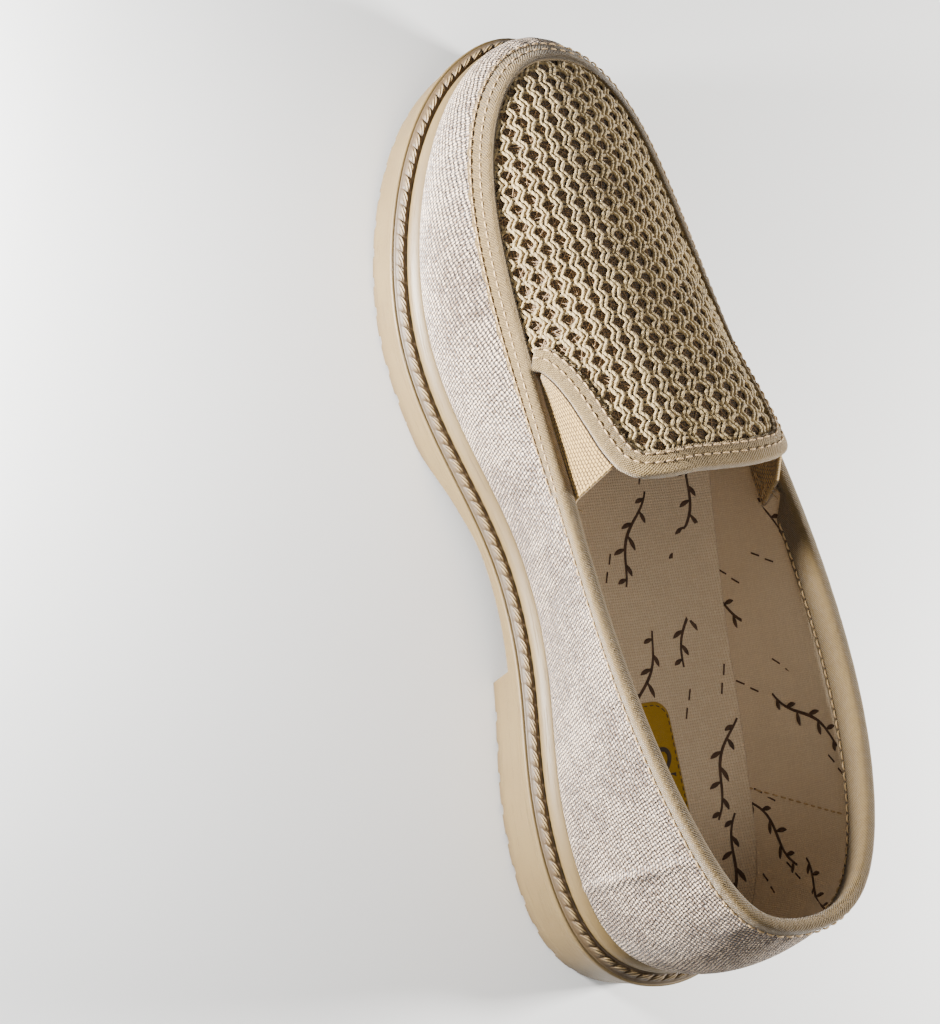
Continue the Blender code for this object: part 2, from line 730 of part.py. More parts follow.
def stand_on_origin(pieces):
    """Centres the shoe over the origin, standing on z = 0, by moving every mesh alike."""
    corners = [np.array(vertex.co) for piece in pieces for vertex in piece.data.vertices]
    low, high = np.min(corners, axis=0), np.max(corners, axis=0)
    shift = np.array([-(low[0] + high[0]) / 2, -(low[1] + high[1]) / 2, 0])
    for mesh in {item.data for item in bpy.data.objects if item.type == "MESH"}:
        for vertex in mesh.vertices:
            vertex.co = np.array(vertex.co) + shift


def main():
    for item in list(bpy.data.objects):
        bpy.data.objects.remove(item)
    outsole = build_outsole()
    pieces = [
        outsole,
        build_rope_trim(),
        build_upper(),
        build_edge_binding(),
        build_throat_tape(),
        build_gore("gore_medial", True),
        build_gore("gore_lateral", False),
        build_insole(),
        build_size_label(),
    ]
    cut_tread_notches(outsole)
    stand_on_origin(pieces)


main()
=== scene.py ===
"""Looks of the house slipper: moulded sole, linen band, crocheted vamp, tapes, gores and canvas inside.

The form is the shoe's own: a place round it is told by its turn, 0 at the back of the heel, 11 at the
toe along the medial side, 22 back at the heel along the lateral side, and by its rise up a surface.
"""
import logging
import math
from dataclasses import dataclass, field
from enum import Enum
from typing import Callable, NamedTuple, Sequence

import bmesh
import bpy
import numpy as np
from mathutils import Matrix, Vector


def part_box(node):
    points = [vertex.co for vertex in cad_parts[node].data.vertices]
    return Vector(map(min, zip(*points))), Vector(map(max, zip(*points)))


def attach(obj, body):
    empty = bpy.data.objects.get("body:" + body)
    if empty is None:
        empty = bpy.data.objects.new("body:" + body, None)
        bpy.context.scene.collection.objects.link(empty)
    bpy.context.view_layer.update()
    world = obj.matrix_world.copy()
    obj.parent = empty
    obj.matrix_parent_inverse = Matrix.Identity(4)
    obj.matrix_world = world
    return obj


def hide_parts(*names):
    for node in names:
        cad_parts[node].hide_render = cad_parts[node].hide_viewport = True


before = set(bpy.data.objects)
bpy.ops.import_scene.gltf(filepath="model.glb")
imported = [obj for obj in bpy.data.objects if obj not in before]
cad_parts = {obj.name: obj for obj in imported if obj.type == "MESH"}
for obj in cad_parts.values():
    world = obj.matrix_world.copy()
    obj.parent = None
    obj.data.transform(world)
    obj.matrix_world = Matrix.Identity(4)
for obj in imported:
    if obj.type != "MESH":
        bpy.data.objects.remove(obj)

LOG = logging.getLogger("slipper")
MM = 0.001
TOE = 11
ROUND = 2 * TOE
STEP = 0.01
BELOW_RIM = 0.97
UP = np.array([0.0, 0.0, 1.0])
Array = np.ndarray
Surface = Callable[[Array, Array], Array]


# Tables of the form

class SoleSection(NamedTuple):
    """Stations are shares of the length, sides of half the ball width, the feather line of the seat."""
    medial_station: float
    medial_side: float
    lateral_station: float
    lateral_side: float
    feather: float


SOLE_SECTIONS = (
    SoleSection(-0.004, -0.04, -0.004, -0.04, 1.000),
    SoleSection(0.020, 0.36, 0.020, -0.44, 0.995),
    SoleSection(0.090, 0.60, 0.090, -0.67, 0.975),
    SoleSection(0.205, 0.65, 0.205, -0.76, 0.920),
    SoleSection(0.325, 0.57, 0.335, -0.82, 0.848),
    SoleSection(0.450, 0.60, 0.465, -0.91, 0.770),
    SoleSection(0.570, 0.80, 0.595, -1.01, 0.718),
    SoleSection(0.680, 0.93, 0.715, -1.00, 0.735),
    SoleSection(0.790, 0.89, 0.825, -0.88, 0.810),
    SoleSection(0.890, 0.71, 0.918, -0.65, 0.910),
    SoleSection(0.962, 0.42, 0.980, -0.34, 1.010),
    SoleSection(0.998, 0.03, 0.998, 0.03, 1.060),
)


class RimSection(NamedTuple):
    """Top edge of the band: shares of length, half ball width and collar height, share of the belly."""
    medial_station: float
    medial_side: float
    medial_height: float
    lateral_station: float
    lateral_side: float
    lateral_height: float
    belly: float


RIM_SECTIONS = (
    RimSection(0.049, -0.02, 1.000, 0.049, -0.02, 1.000, 1.00),
    RimSection(0.062, 0.26, 0.990, 0.062, -0.31, 0.995, 0.90),
    RimSection(0.115, 0.45, 0.950, 0.115, -0.56, 0.960, 0.60),
    RimSection(0.215, 0.56, 0.860, 0.215, -0.76, 0.885, 0.35),
    RimSection(0.335, 0.60, 0.755, 0.335, -0.86, 0.790, 0.20),
    RimSection(0.460, 0.605, 0.670, 0.460, -0.855, 0.700, 0.35),
    RimSection(0.585, 0.625, 0.615, 0.585, -0.775, 0.625, 0.70),
    RimSection(0.700, 0.645, 0.575, 0.700, -0.675, 0.575, 0.85),
    RimSection(0.800, 0.605, 0.540, 0.800, -0.575, 0.542, 0.85),
    RimSection(0.880, 0.475, 0.520, 0.880, -0.450, 0.522, 0.80),
    RimSection(0.932, 0.255, 0.508, 0.932, -0.250, 0.508, 0.75),
    RimSection(0.947, 0.000, 0.503, 0.947, 0.000, 0.503, 0.70),
)


class Row(NamedTuple):
    """Row of a short table: where it holds, and one or two values there."""
    at: float
    first: float
    second: float = 0.0


# turn, share of length, share of instep height
RIDGE_ROWS = (Row(5, 0.482, 1.000), Row(6, 0.575, 0.922), Row(7, 0.660, 0.848), Row(8, 0.735, 0.786),
              Row(9, 0.795, 0.738), Row(10, 0.835, 0.708), Row(11, 0.850, 0.698), Row(12, 0.835, 0.708))
# turn, share of heel lift, share of toe spring
TREAD_ROWS = (Row(0.0, 0.00, 0.00), Row(4.0, 0.00, 0.00), Row(4.06, 1.00, 0.00), Row(5.0, 0.95, 0.00),
              Row(5.5, 0.60, 0.00), Row(6.1, 0.00, 0.00), Row(7.3, 0.00, 0.00), Row(8.0, 0.00, 0.08),
              Row(9.0, 0.00, 0.32), Row(10.0, 0.00, 0.72), Row(11.0, 0.00, 1.00))
# rise, turn of the vamp plug's rear edge, medial and lateral
PLUG_EDGE_ROWS = (Row(0.00, 6.22), Row(0.08, 6.20), Row(0.16, 6.10), Row(0.24, 5.92), Row(0.32, 5.66),
                  Row(0.39, 5.42), Row(0.46, 5.26), Row(0.60, 5.14), Row(0.80, 5.09), Row(1.00, 5.07))
LATERAL_EDGE_ROWS = (Row(0.00, 6.22), Row(0.06, 6.19), Row(0.12, 6.05), Row(0.18, 5.82), Row(0.25, 5.56),
                     Row(0.33, 5.38), Row(0.42, 5.28), Row(0.55, 5.21), Row(0.75, 5.13), Row(1.00, 5.07))
# turn, share of the tape folded inside, how far it lies over the plug
BINDING_ROWS = (Row(0.00, 1.00, 0.0), Row(4.82, 1.00, 0.0), Row(5.02, 0.33, 0.0), Row(5.95, 0.33, 0.0),
                Row(6.10, 0.02, 0.0), Row(6.22, 0.02, 1.0), Row(11.0, 0.02, 1.0))


class Fold(NamedTuple):
    """Soft crease: its middle, its half length and half width in mm, its tilt in degrees, its depth."""
    turn: float
    rise: float
    length: float
    width: float
    tilt: float
    depth: float


# troughs have a positive depth, ridges a negative one
BAND_FOLDS = (
    Fold(4.55, 0.55, 16, 3.2, 72, 0.45), Fold(4.90, 0.62, 15, 3.0, 80, -0.35),
    Fold(5.30, 0.58, 14, 3.0, 95, 0.40), Fold(5.95, 0.70, 10, 2.6, 100, 0.35),
    Fold(6.60, 0.72, 9, 2.4, 84, -0.25), Fold(7.20, 0.66, 10, 2.6, 96, 0.30),
    Fold(1.10, 0.50, 18, 4.0, 88, 0.35), Fold(2.15, 0.50, 24, 1.2, 90, -1.6),
    Fold(19.85, 0.50, 24, 1.2, 90, -1.6), Fold(17.3, 0.56, 15, 3.0, 98, 0.45),
    Fold(16.7, 0.60, 13, 3.0, 84, -0.30), Fold(15.4, 0.66, 11, 2.6, 92, 0.35),
    Fold(3.40, 0.80, 14, 2.6, 12, 0.30), Fold(18.6, 0.78, 16, 2.6, -10, 0.35),
)


# Curves

def closed_curve(rows: Sequence[Sequence[float]], turn: Array) -> Array:
    """Smooth closed curve through the rows, one unit of turn a row (periodic cubic spline).

    Args:
        rows: the points, in order round the loop.
        turn: where to read the curve.

    Returns:
        The points there.
    """
    points = np.asarray(rows, float)
    count = len(points)
    system = 4 * np.eye(count) + np.roll(np.eye(count), 1, 1) + np.roll(np.eye(count), -1, 1)
    bend = np.linalg.solve(system, 6 * (np.roll(points, -1, 0) - 2 * points + np.roll(points, 1, 0)))
    turn = np.asarray(turn, float) % count
    here = np.floor(turn).astype(int) % count
    ahead = (here + 1) % count
    b = (turn - np.floor(turn))[..., None]
    a = 1 - b
    straight = a * points[here] + b * points[ahead]
    return straight + ((a ** 3 - a) * bend[here] + (b ** 3 - b) * bend[ahead]) / 6


def table_curve(xs: Sequence[float], ys: Sequence[float], x: Array) -> Array:
    """Smooth curve through a table that never swings past its values (monotone cubic).

    Args:
        xs: places of the rows, rising.
        ys: values of the rows.
        x: where to read the curve.

    Returns:
        The values there.
    """
    xs = np.asarray(xs, float)
    ys = np.asarray(ys, float)
    step = np.diff(xs)
    rate = np.diff(ys) / step
    before, after = rate[:-1], rate[1:]
    inner = np.where(before * after > 0, 2 * before * after / (before + after + 1e-12), 0)
    slope = np.concatenate([rate[:1], inner, rate[-1:]])
    x = np.clip(x, xs[0], xs[-1])
    i = np.clip(np.searchsorted(xs, x, side="right") - 1, 0, len(step) - 1)
    t = (x - xs[i]) / step[i]
    start = ys[i] * (2 * t ** 3 - 3 * t ** 2 + 1) + step[i] * slope[i] * (t ** 3 - 2 * t ** 2 + t)
    return start + ys[i + 1] * (3 * t ** 2 - 2 * t ** 3) + step[i] * slope[i + 1] * (t ** 3 - t ** 2)


def unit(vectors: Array) -> Array:
    """Vectors at length one."""
    return vectors / np.maximum(np.linalg.norm(vectors, axis=-1, keepdims=True), 1e-12)


def eased(share: Array) -> Array:
    """Share from 0 to 1 with a soft start and end: three squares less two cubes."""
    share = np.clip(share, 0, 1)
    return share * share * (3 - 2 * share)


def half_turn(turn: Array) -> Array:
    """Turn measured from the heel on either side, 0 to 11."""
    turn = np.asarray(turn, float) % ROUND
    return np.minimum(turn, ROUND - turn)


def on_side(half: Array, medial: bool) -> Array:
    """Half turn as a turn of the medial or the lateral side."""
    return half if medial else ROUND - half


def round_the_shoe(medial: Sequence, lateral: Sequence) -> list:
    """Rows by turn: up the medial side, back down the lateral side, ends shared."""
    return list(medial) + list(lateral[-2:0:-1])


def arc(points: Array) -> Array:
    """Length along a row of points, in millimetres, starting at 0."""
    steps = np.linalg.norm(np.diff(points, axis=-2), axis=-1) / MM
    return np.concatenate([np.zeros_like(steps[..., :1]), np.cumsum(steps, axis=-1)], axis=-1)


def rounded(points: Array, times: int = 2) -> Array:
    """Cuts the corners of a row of points by quarters, ends kept.

    Args:
        points: the row along axis 0.
        times: how often each corner is cut.

    Returns:
        The rounded row, which has more points.
    """
    for _ in range(times):
        near = 0.75 * points[:-1] + 0.25 * points[1:]
        far = 0.25 * points[:-1] + 0.75 * points[1:]
        between = np.stack([near, far], axis=1).reshape(-1, *points.shape[1:])
        points = np.concatenate([points[:1], between[1:-1], points[-1:]])
    return points


@dataclass
class Form:
    """Shape of the shoe: every surface is a function of turn and rise, worked out from these sizes."""
    length: float = 285 * MM
    ball_width: float = 104 * MM
    seat_height: float = 29 * MM
    collar_height: float = 90 * MM
    instep_height: float = 79.5 * MM
    heel_lift: float = 9 * MM
    toe_spring: float = 8 * MM
    upper_inset: float = 4.5 * MM
    wall: float = 2 * MM
    belly: float = 5 * MM
    parting_proud: float = 0.5 * MM
    shoulder_throat: float = 0.75
    shoulder_toe: float = 0.45
    arch_pull: float = 1.05
    shoulder_turns: tuple[float, float] = (5, 8)
    crown_turns: tuple[float, float] = (7.5, 9.5)
    throat_flare: float = 4.7 * MM
    flare_turn: float = 5.6
    flare_spread: float = 1.1
    flare_way: tuple[float, float, float] = (-0.75, 0.0, 0.66)
    shift: Array = field(default_factory=lambda: np.zeros(3))

    def __post_init__(self) -> None:
        """Lays the middle of the sole's box on the middle of the frame's outsole."""
        around = np.linspace(0, ROUND, 4001)
        edge = self.sole_point(around, -self.parting_proud, np.zeros_like(around))
        low, high = (np.array(corner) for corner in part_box("outsole"))
        self.shift = (low + high) / 2 - (edge.min(0) + edge.max(0)) / 2
        self.shift[2] = 0.0

    def place(self, station: Array, side: Array, height: Array) -> Array:
        """Point in the frame from station, side and height."""
        return np.stack([side, self.length / 2 - station, height + 0 * side], -1) + self.shift

    def spot(self, station: float, side: float) -> tuple[float, float]:
        """Place on the floor from shares of the length and of half the ball width."""
        return tuple(self.place(station * self.length, side * self.ball_width / 2, 0.0)[:2])

    def by_section(self, values: Sequence[float], turn: Array) -> Array:
        """One value a section, the same on both sides."""
        return closed_curve([[value] for value in round_the_shoe(values, values)], turn)[..., 0]

    def outline(self, turn: Array) -> Array:
        """Plan outline of the sole's ledge.

        Args:
            turn: where round the shoe.

        Returns:
            Station and side, in the last axis.
        """
        half = self.ball_width / 2
        medial = [(r.medial_station * self.length, r.medial_side * half) for r in SOLE_SECTIONS]
        lateral = [(r.lateral_station * self.length, r.lateral_side * half) for r in SOLE_SECTIONS]
        return closed_curve(round_the_shoe(medial, lateral), turn)

    def outline_normal(self, turn: Array) -> Array:
        """Outward direction of the outline, in station and side."""
        along = self.outline(np.asarray(turn) + STEP) - self.outline(np.asarray(turn) - STEP)
        return unit(np.stack([-along[..., 1], along[..., 0]], -1))

    def outward(self, turn: Array) -> Array:
        """Outward direction of the outline, in the frame."""
        normal = self.outline_normal(turn)
        return np.stack([normal[..., 1], -normal[..., 0], 0 * normal[..., 0]], -1)

    def feather(self, turn: Array) -> Array:
        """Height of the line where the upper meets the sole."""
        return self.by_section([r.feather * self.seat_height for r in SOLE_SECTIONS], turn)

    def tread(self, turn: Array) -> Array:
        """Height of the underside."""
        heights = [r.first * self.heel_lift + r.second * self.toe_spring for r in TREAD_ROWS]
        return table_curve([r.at for r in TREAD_ROWS], heights, half_turn(turn))

    def sole_point(self, turn: Array, inset: Array, height: Array) -> Array:
        """Point at a height, set in from the outline."""
        at = self.outline(turn) - self.outline_normal(turn) * np.asarray(inset)[..., None]
        return self.place(at[..., 0], at[..., 1], height)

    def rim(self, turn: Array) -> Array:
        """Top edge of the band, which is the plug's seam in front of the gores.

        Args:
            turn: where round the shoe.

        Returns:
            Points of the edge.
        """
        half, tall = self.ball_width / 2, self.collar_height
        medial = [(r.medial_station * self.length, r.medial_side * half, r.medial_height * tall)
                  for r in RIM_SECTIONS]
        lateral = [(r.lateral_station * self.length, r.lateral_side * half, r.lateral_height * tall)
                   for r in RIM_SECTIONS]
        at = closed_curve(round_the_shoe(medial, lateral), turn)
        return self.place(at[..., 0], at[..., 1], at[..., 2])

    def band(self, turn: Array, rise: Array) -> Array:
        """Outside of the band: a straight run from the feather line to the rim, with a sine belly.

        Args:
            turn: where round the shoe.
            rise: share of the way from the feather line to the rim.

        Returns:
            Points of the surface.
        """
        turn, rise = np.broadcast_arrays(np.asarray(turn, float), np.asarray(rise, float))
        foot = self.sole_point(turn, self.upper_inset, self.feather(turn))
        top = self.rim(turn)
        belly = self.belly * self.by_section([r.belly for r in RIM_SECTIONS], turn)
        bulge = belly * np.sin(math.pi * np.clip(rise, 0, 1) ** 0.85)
        return foot + (top - foot) * rise[..., None] + self.outward(turn) * bulge[..., None]

    def band_height(self, turn: Array) -> Array:
        """Straight height of the band at a turn."""
        return np.linalg.norm(self.rim(turn) - self.band(turn, 0 * np.asarray(turn)), axis=-1)

    def upward(self, turn: Array) -> Array:
        """Direction in which the band arrives at the rim."""
        return unit(self.band(turn, 1.0) - self.band(turn, BELOW_RIM))

    def band_grid(self, columns: int, rise: Array) -> tuple[Array, Array]:
        """Turns of a closed grid on the band and its pattern coordinates.

        Args:
            columns: number of turns.
            rise: column of rises.

        Returns:
            Turns, shape (1, columns), and lengths along and up the band in mm, one column more.
        """
        around = np.linspace(0, ROUND, columns + 1)
        length = arc(self.band(around, 0.5 + 0 * around))
        uv = np.stack(np.broadcast_arrays(length, rise * (self.band_height(around) / MM)), axis=-1)
        return around[None, :-1], uv

    def ridge(self, half: Array) -> Array:
        """Top line of the vamp from the throat to the toe.

        Args:
            half: half turns.

        Returns:
            Points of the line.
        """
        turns = [r.at for r in RIDGE_ROWS]
        station = table_curve(turns, [r.first * self.length for r in RIDGE_ROWS], half)
        height = table_curve(turns, [r.second * self.instep_height for r in RIDGE_ROWS], half)
        return self.place(station, 0 * station, height)

    def vamp(self, turn: Array, rise: Array) -> Array:
        """Outside of the vamp: a cubic arch that leaves the rim between the band's own direction and
        the chord, and meets the ridge level across. Beside the lateral gore it stands off a little.

        Args:
            turn: where round the shoe.
            rise: share of the way from the rim to the ridge.

        Returns:
            Points of the surface.
        """
        turn, rise = np.broadcast_arrays(np.asarray(turn, float), np.asarray(rise, float))
        half = half_turn(turn)
        seam = self.rim(turn)
        top = self.ridge(half)
        chord = top - seam
        span = np.linalg.norm(chord, axis=-1, keepdims=True)
        rear, front = self.shoulder_turns
        gain = self.shoulder_throat - self.shoulder_toe
        fullness = self.shoulder_toe + gain * eased((front - half) / (front - rear))[..., None]
        leave = self.upward(turn) * fullness + chord / span * (1 - fullness)
        leave = unit(leave) * span * self.arch_pull
        fall = np.subtract(*(self.ridge(np.full_like(half, at)) for at in self.crown_turns))
        arrive = chord.copy()
        arrive[..., 2] = chord[..., 1] * fall[..., 2] / fall[..., 1]
        arrive = unit(arrive) * span * self.arch_pull
        t = rise[..., None]
        low = seam * (2 * t ** 3 - 3 * t ** 2 + 1) + leave * (t ** 3 - 2 * t ** 2 + t)
        arch = low + top * (3 * t ** 2 - 2 * t ** 3) + arrive * (t ** 3 - t ** 2)
        flare = np.exp(-((half - self.flare_turn) / self.flare_spread) ** 2)
        flare = flare * np.sin(math.pi * np.clip(rise, 0, 1)) ** 1.5
        flare = self.throat_flare * flare * (turn % ROUND > TOE)
        return arch + flare[..., None] * np.array(self.flare_way)

    def normal(self, surface: Surface, turn: Array, rise: Array) -> Array:
        """Outward normal of a surface: the cross product of its slopes by turn and by rise.

        Args:
            surface: band or vamp.
            turn: where round the shoe.
            rise: where up the surface.

        Returns:
            Directions of length one.
        """
        turn, rise = np.broadcast_arrays(np.asarray(turn, float), np.asarray(rise, float))
        rise = np.clip(rise, 0, BELOW_RIM)
        low = np.clip(rise - STEP, 0, 1)
        along = surface(turn + 2 * STEP, rise) - surface(turn - 2 * STEP, rise)
        up = surface(turn, low + 2 * STEP) - surface(turn, low)
        return unit(np.cross(up, along))

    def shifted(self, surface: Surface, turn: Array, rise: Array, out: Array) -> Array:
        """Point of a surface moved out along its normal."""
        out = np.asarray(out, float)
        return surface(turn, rise) + self.normal(surface, turn, rise) * out[..., None]

    def plug_edge_turn(self, rise: Array, medial: bool = True) -> Array:
        """Half turn of the vamp plug's rear edge."""
        rows = PLUG_EDGE_ROWS if medial else LATERAL_EDGE_ROWS
        return table_curve([r.at for r in rows], [r.first for r in rows], rise)

    def plug_edge(self, rise: Array, medial: bool) -> tuple[Array, Array, Array, Array]:
        """Along the plug's rear edge on one side.

        Args:
            rise: rises along the edge, rising.
            medial: which side.

        Returns:
            Turn, edge point, normal, and the way into the plug.
        """
        turn = on_side(self.plug_edge_turn(rise, medial), medial)
        edge = self.vamp(turn, rise)
        normal = self.normal(self.vamp, turn, rise)
        into = unit(np.cross(unit(np.gradient(edge, axis=0)), normal))
        return turn, edge, normal, -into if medial else into

    def plug_grid(self, medial: bool, columns: int, rise: Array) -> Array:
        """Turns of a grid from the plug's rear edge to the toe, shape (rises, columns)."""
        first = self.plug_edge_turn(rise, medial) + 3 * STEP
        return on_side(first + (TOE - first) * np.linspace(0, 1, columns), medial)

    def beside(self, turn: Array, rise: Array, toward: Array,
               distance: float | Array) -> tuple[Array, Array]:
        """Vamp place a distance away in a direction: the first step of Newton's method.

        Args:
            turn: where to start.
            rise: where to start.
            toward: directions in the frame.
            distance: how far to go.

        Returns:
            Turn and rise of the places.
        """
        by_turn = (self.vamp(turn + STEP, rise) - self.vamp(turn - STEP, rise)) / (2 * STEP)
        by_rise = (self.vamp(turn, rise + STEP) - self.vamp(turn, rise - STEP)) / (2 * STEP)
        a, b = np.sum(by_turn ** 2, -1), np.sum(by_turn * by_rise, -1)
        c = np.sum(by_rise ** 2, -1)
        u = np.sum(by_turn * toward, -1) * distance
        v = np.sum(by_rise * toward, -1) * distance
        scale = a * c - b * b
        return turn + (c * u - b * v) / scale, rise + (a * v - b * u) / scale

    def crease(self, turn: Array, rise: Array) -> Array:
        """Depth of the band's soft folds, each a Gaussian trough along its own tilted line.

        Args:
            turn: where round the shoe.
            rise: where up the band.

        Returns:
            Depths, negative on ridges.
        """
        depth = np.zeros(np.broadcast(turn, rise).shape)
        reach = 5 * STEP
        step = np.linalg.norm(self.rim(turn + reach) - self.rim(turn - reach), axis=-1)
        scale = step / (2 * reach) / MM
        height = self.band_height(turn) / MM
        for fold in BAND_FOLDS:
            across = (turn - fold.turn) * scale
            up = (rise - fold.rise) * height
            cos, sin = math.cos(math.radians(fold.tilt)), math.sin(math.radians(fold.tilt))
            along = across * cos + up * sin
            off = up * cos - across * sin
            depth += fold.depth * MM * np.exp(-(along / fold.length) ** 2 - (off / fold.width) ** 2)
        return depth


# Meshes

class Skin:
    """Collects grids of points with pattern coordinates in millimetres, and makes one mesh of them."""

    def __init__(self) -> None:
        """Starts empty."""
        self.points: list[Array] = []
        self.faces: list[Array] = []
        self.uvs: list[Array] = []
        self.count = 0

    def grid(self, points: Array, uv: Array, wrap_rows: bool = False, wrap_columns: bool = False,
             facing: Array | None = None) -> Array:
        """Adds quads over a grid, or over a stack of grids.

        Args:
            points: shape (..., rows, columns, 3).
            uv: shape (..., rows, columns, 2), one more row or column where that way wraps.
            wrap_rows: joins the last row to the first.
            wrap_columns: joins the last column to the first.
            facing: outward directions on the grid, where the faces may have to be turned.

        Returns:
            The points' numbers, shape (..., rows, columns).
        """
        index = np.arange(np.prod(points.shape[:-1])).reshape(points.shape[:-1]) + self.count
        whole = index
        if wrap_rows:
            whole = np.concatenate([whole, whole[..., :1, :]], axis=-2)
        if wrap_columns:
            whole = np.concatenate([whole, whole[..., :1]], axis=-1)

        def corners(values: Array) -> Array:
            """Values at the four corners of each quad."""
            near, far = values[..., :-1, :], values[..., 1:, :]
            return np.stack([near[..., :-1], near[..., 1:], far[..., 1:], far[..., :-1]], axis=-1)

        quads = corners(whole).reshape(-1, 4)
        pattern = np.stack([corners(uv[..., 0]), corners(uv[..., 1])], axis=-1).reshape(-1, 4, 2)
        if facing is not None:
            flat = points.reshape(-1, 3)
            a, b, _, d = (flat[quads[:, k] - self.count] for k in range(4))
            out = facing.reshape(-1, 3)[quads[:, 0] - self.count]
            if np.sum(np.cross(b - a, d - a) * out) < 0:
                quads, pattern = quads[:, ::-1], pattern[:, ::-1]
        self.points.append(points.reshape(-1, 3))
        self.count += len(self.points[-1])
        self.faces.append(quads)
        self.uvs.append(pattern)
        return index

    def polygons(self, index: Array, uv: Array) -> None:
        """Adds faces of any one size: index (faces, corners), uv (faces, corners, 2)."""
        self.faces.append(index)
        self.uvs.append(uv)

    def tubes(self, paths: Array, normals: Array, radius: float | Array, sides: int = 6,
              closed: bool = False, flat: float = 1.0) -> None:
        """Adds round cords along many paths at once: a circle carried square to each path.

        Args:
            paths: shape (cords, steps, 3).
            normals: a direction off the surface at each step.
            radius: of the cord, one value or one at each step.
            sides: faces round the cord.
            closed: joins each path's end to its start.
            flat: height of the section as a share of its width.
        """
        ahead = np.gradient(paths, axis=1)
        if closed:
            ahead = np.roll(paths, -1, 1) - np.roll(paths, 1, 1)
        ahead = unit(ahead)
        side = unit(np.cross(ahead, normals))
        up = np.cross(side, ahead)
        angle = np.arange(sides) * 2 * math.pi / sides
        width = np.broadcast_to(np.asarray(radius, float), paths.shape[:2])[..., None, None]
        cos, sin = np.cos(angle)[:, None], np.sin(angle)[:, None]
        ring = side[..., None, :] * cos + up[..., None, :] * sin * flat
        skin = paths[..., None, :] + ring * width
        along = arc(np.concatenate([paths, paths[:, :1]], axis=1) if closed else paths)
        around = np.arange(sides + 1) * 2 * math.pi * np.mean(width) / MM / sides
        uv = np.stack(np.broadcast_arrays(along[..., None], around), axis=-1)
        index = self.grid(skin, uv, wrap_rows=closed, wrap_columns=True, facing=ring)
        if not closed:
            for end, step in ((index[:, 0, ::-1], 0), (index[:, -1], -1)):
                self.polygons(end, np.broadcast_to(uv[:, step, :1], (*end.shape, 2)))

    def build(self, name: str, material: bpy.types.Material, closed: bool = False,
              sharp: float = 60.0) -> bpy.types.Object:
        """Makes the object.

        Args:
            name: of the piece.
            material: its finish.
            closed: the mesh bounds a solid, so its faces can be turned outwards by themselves.
            sharp: edges past this angle, in degrees, stay sharp.

        Returns:
            The object, in the scene.
        """
        points = np.concatenate(self.points)
        totals = np.concatenate([np.full(len(face), face.shape[1]) for face in self.faces])
        corners = np.concatenate([face.reshape(-1) for face in self.faces])
        mesh = bpy.data.meshes.new(name)
        mesh.vertices.add(len(points))
        mesh.vertices.foreach_set("co", points.astype(np.float32).ravel())
        mesh.loops.add(len(corners))
        mesh.loops.foreach_set("vertex_index", corners.astype(np.int32))
        mesh.polygons.add(len(totals))
        starts = np.concatenate([[0], np.cumsum(totals)[:-1]])
        mesh.polygons.foreach_set("loop_start", starts.astype(np.int32))
        layer = mesh.uv_layers.new(name="pattern")
        flat = np.concatenate([uv.reshape(-1) for uv in self.uvs])
        layer.data.foreach_set("uv", flat.astype(np.float32))
        mesh.update(calc_edges=True)
        mesh.validate()
        if closed:
            body = bmesh.new()
            body.from_mesh(mesh)
            bmesh.ops.recalc_face_normals(body, faces=body.faces)
            body.to_mesh(mesh)
            body.free()
        mesh.shade_smooth()
        mesh.set_sharp_from_angle(angle=math.radians(sharp))
        mesh.materials.append(material)
        piece = bpy.data.objects.new(name, mesh)
        bpy.context.collection.objects.link(piece)
        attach(piece, "root")
        LOG.info("%s: %d faces", name, len(totals))
        return piece


def thicken(piece: bpy.types.Object, thickness: float) -> None:
    """Gives a sheet its thickness, away from the side its faces point to.

    Args:
        piece: the sheet.
        thickness: in metres.
    """
    solid = piece.modifiers.new("thickness", "SOLIDIFY")
    solid.thickness = thickness
    solid.offset = -1
    solid.use_rim = True


# Shader maths

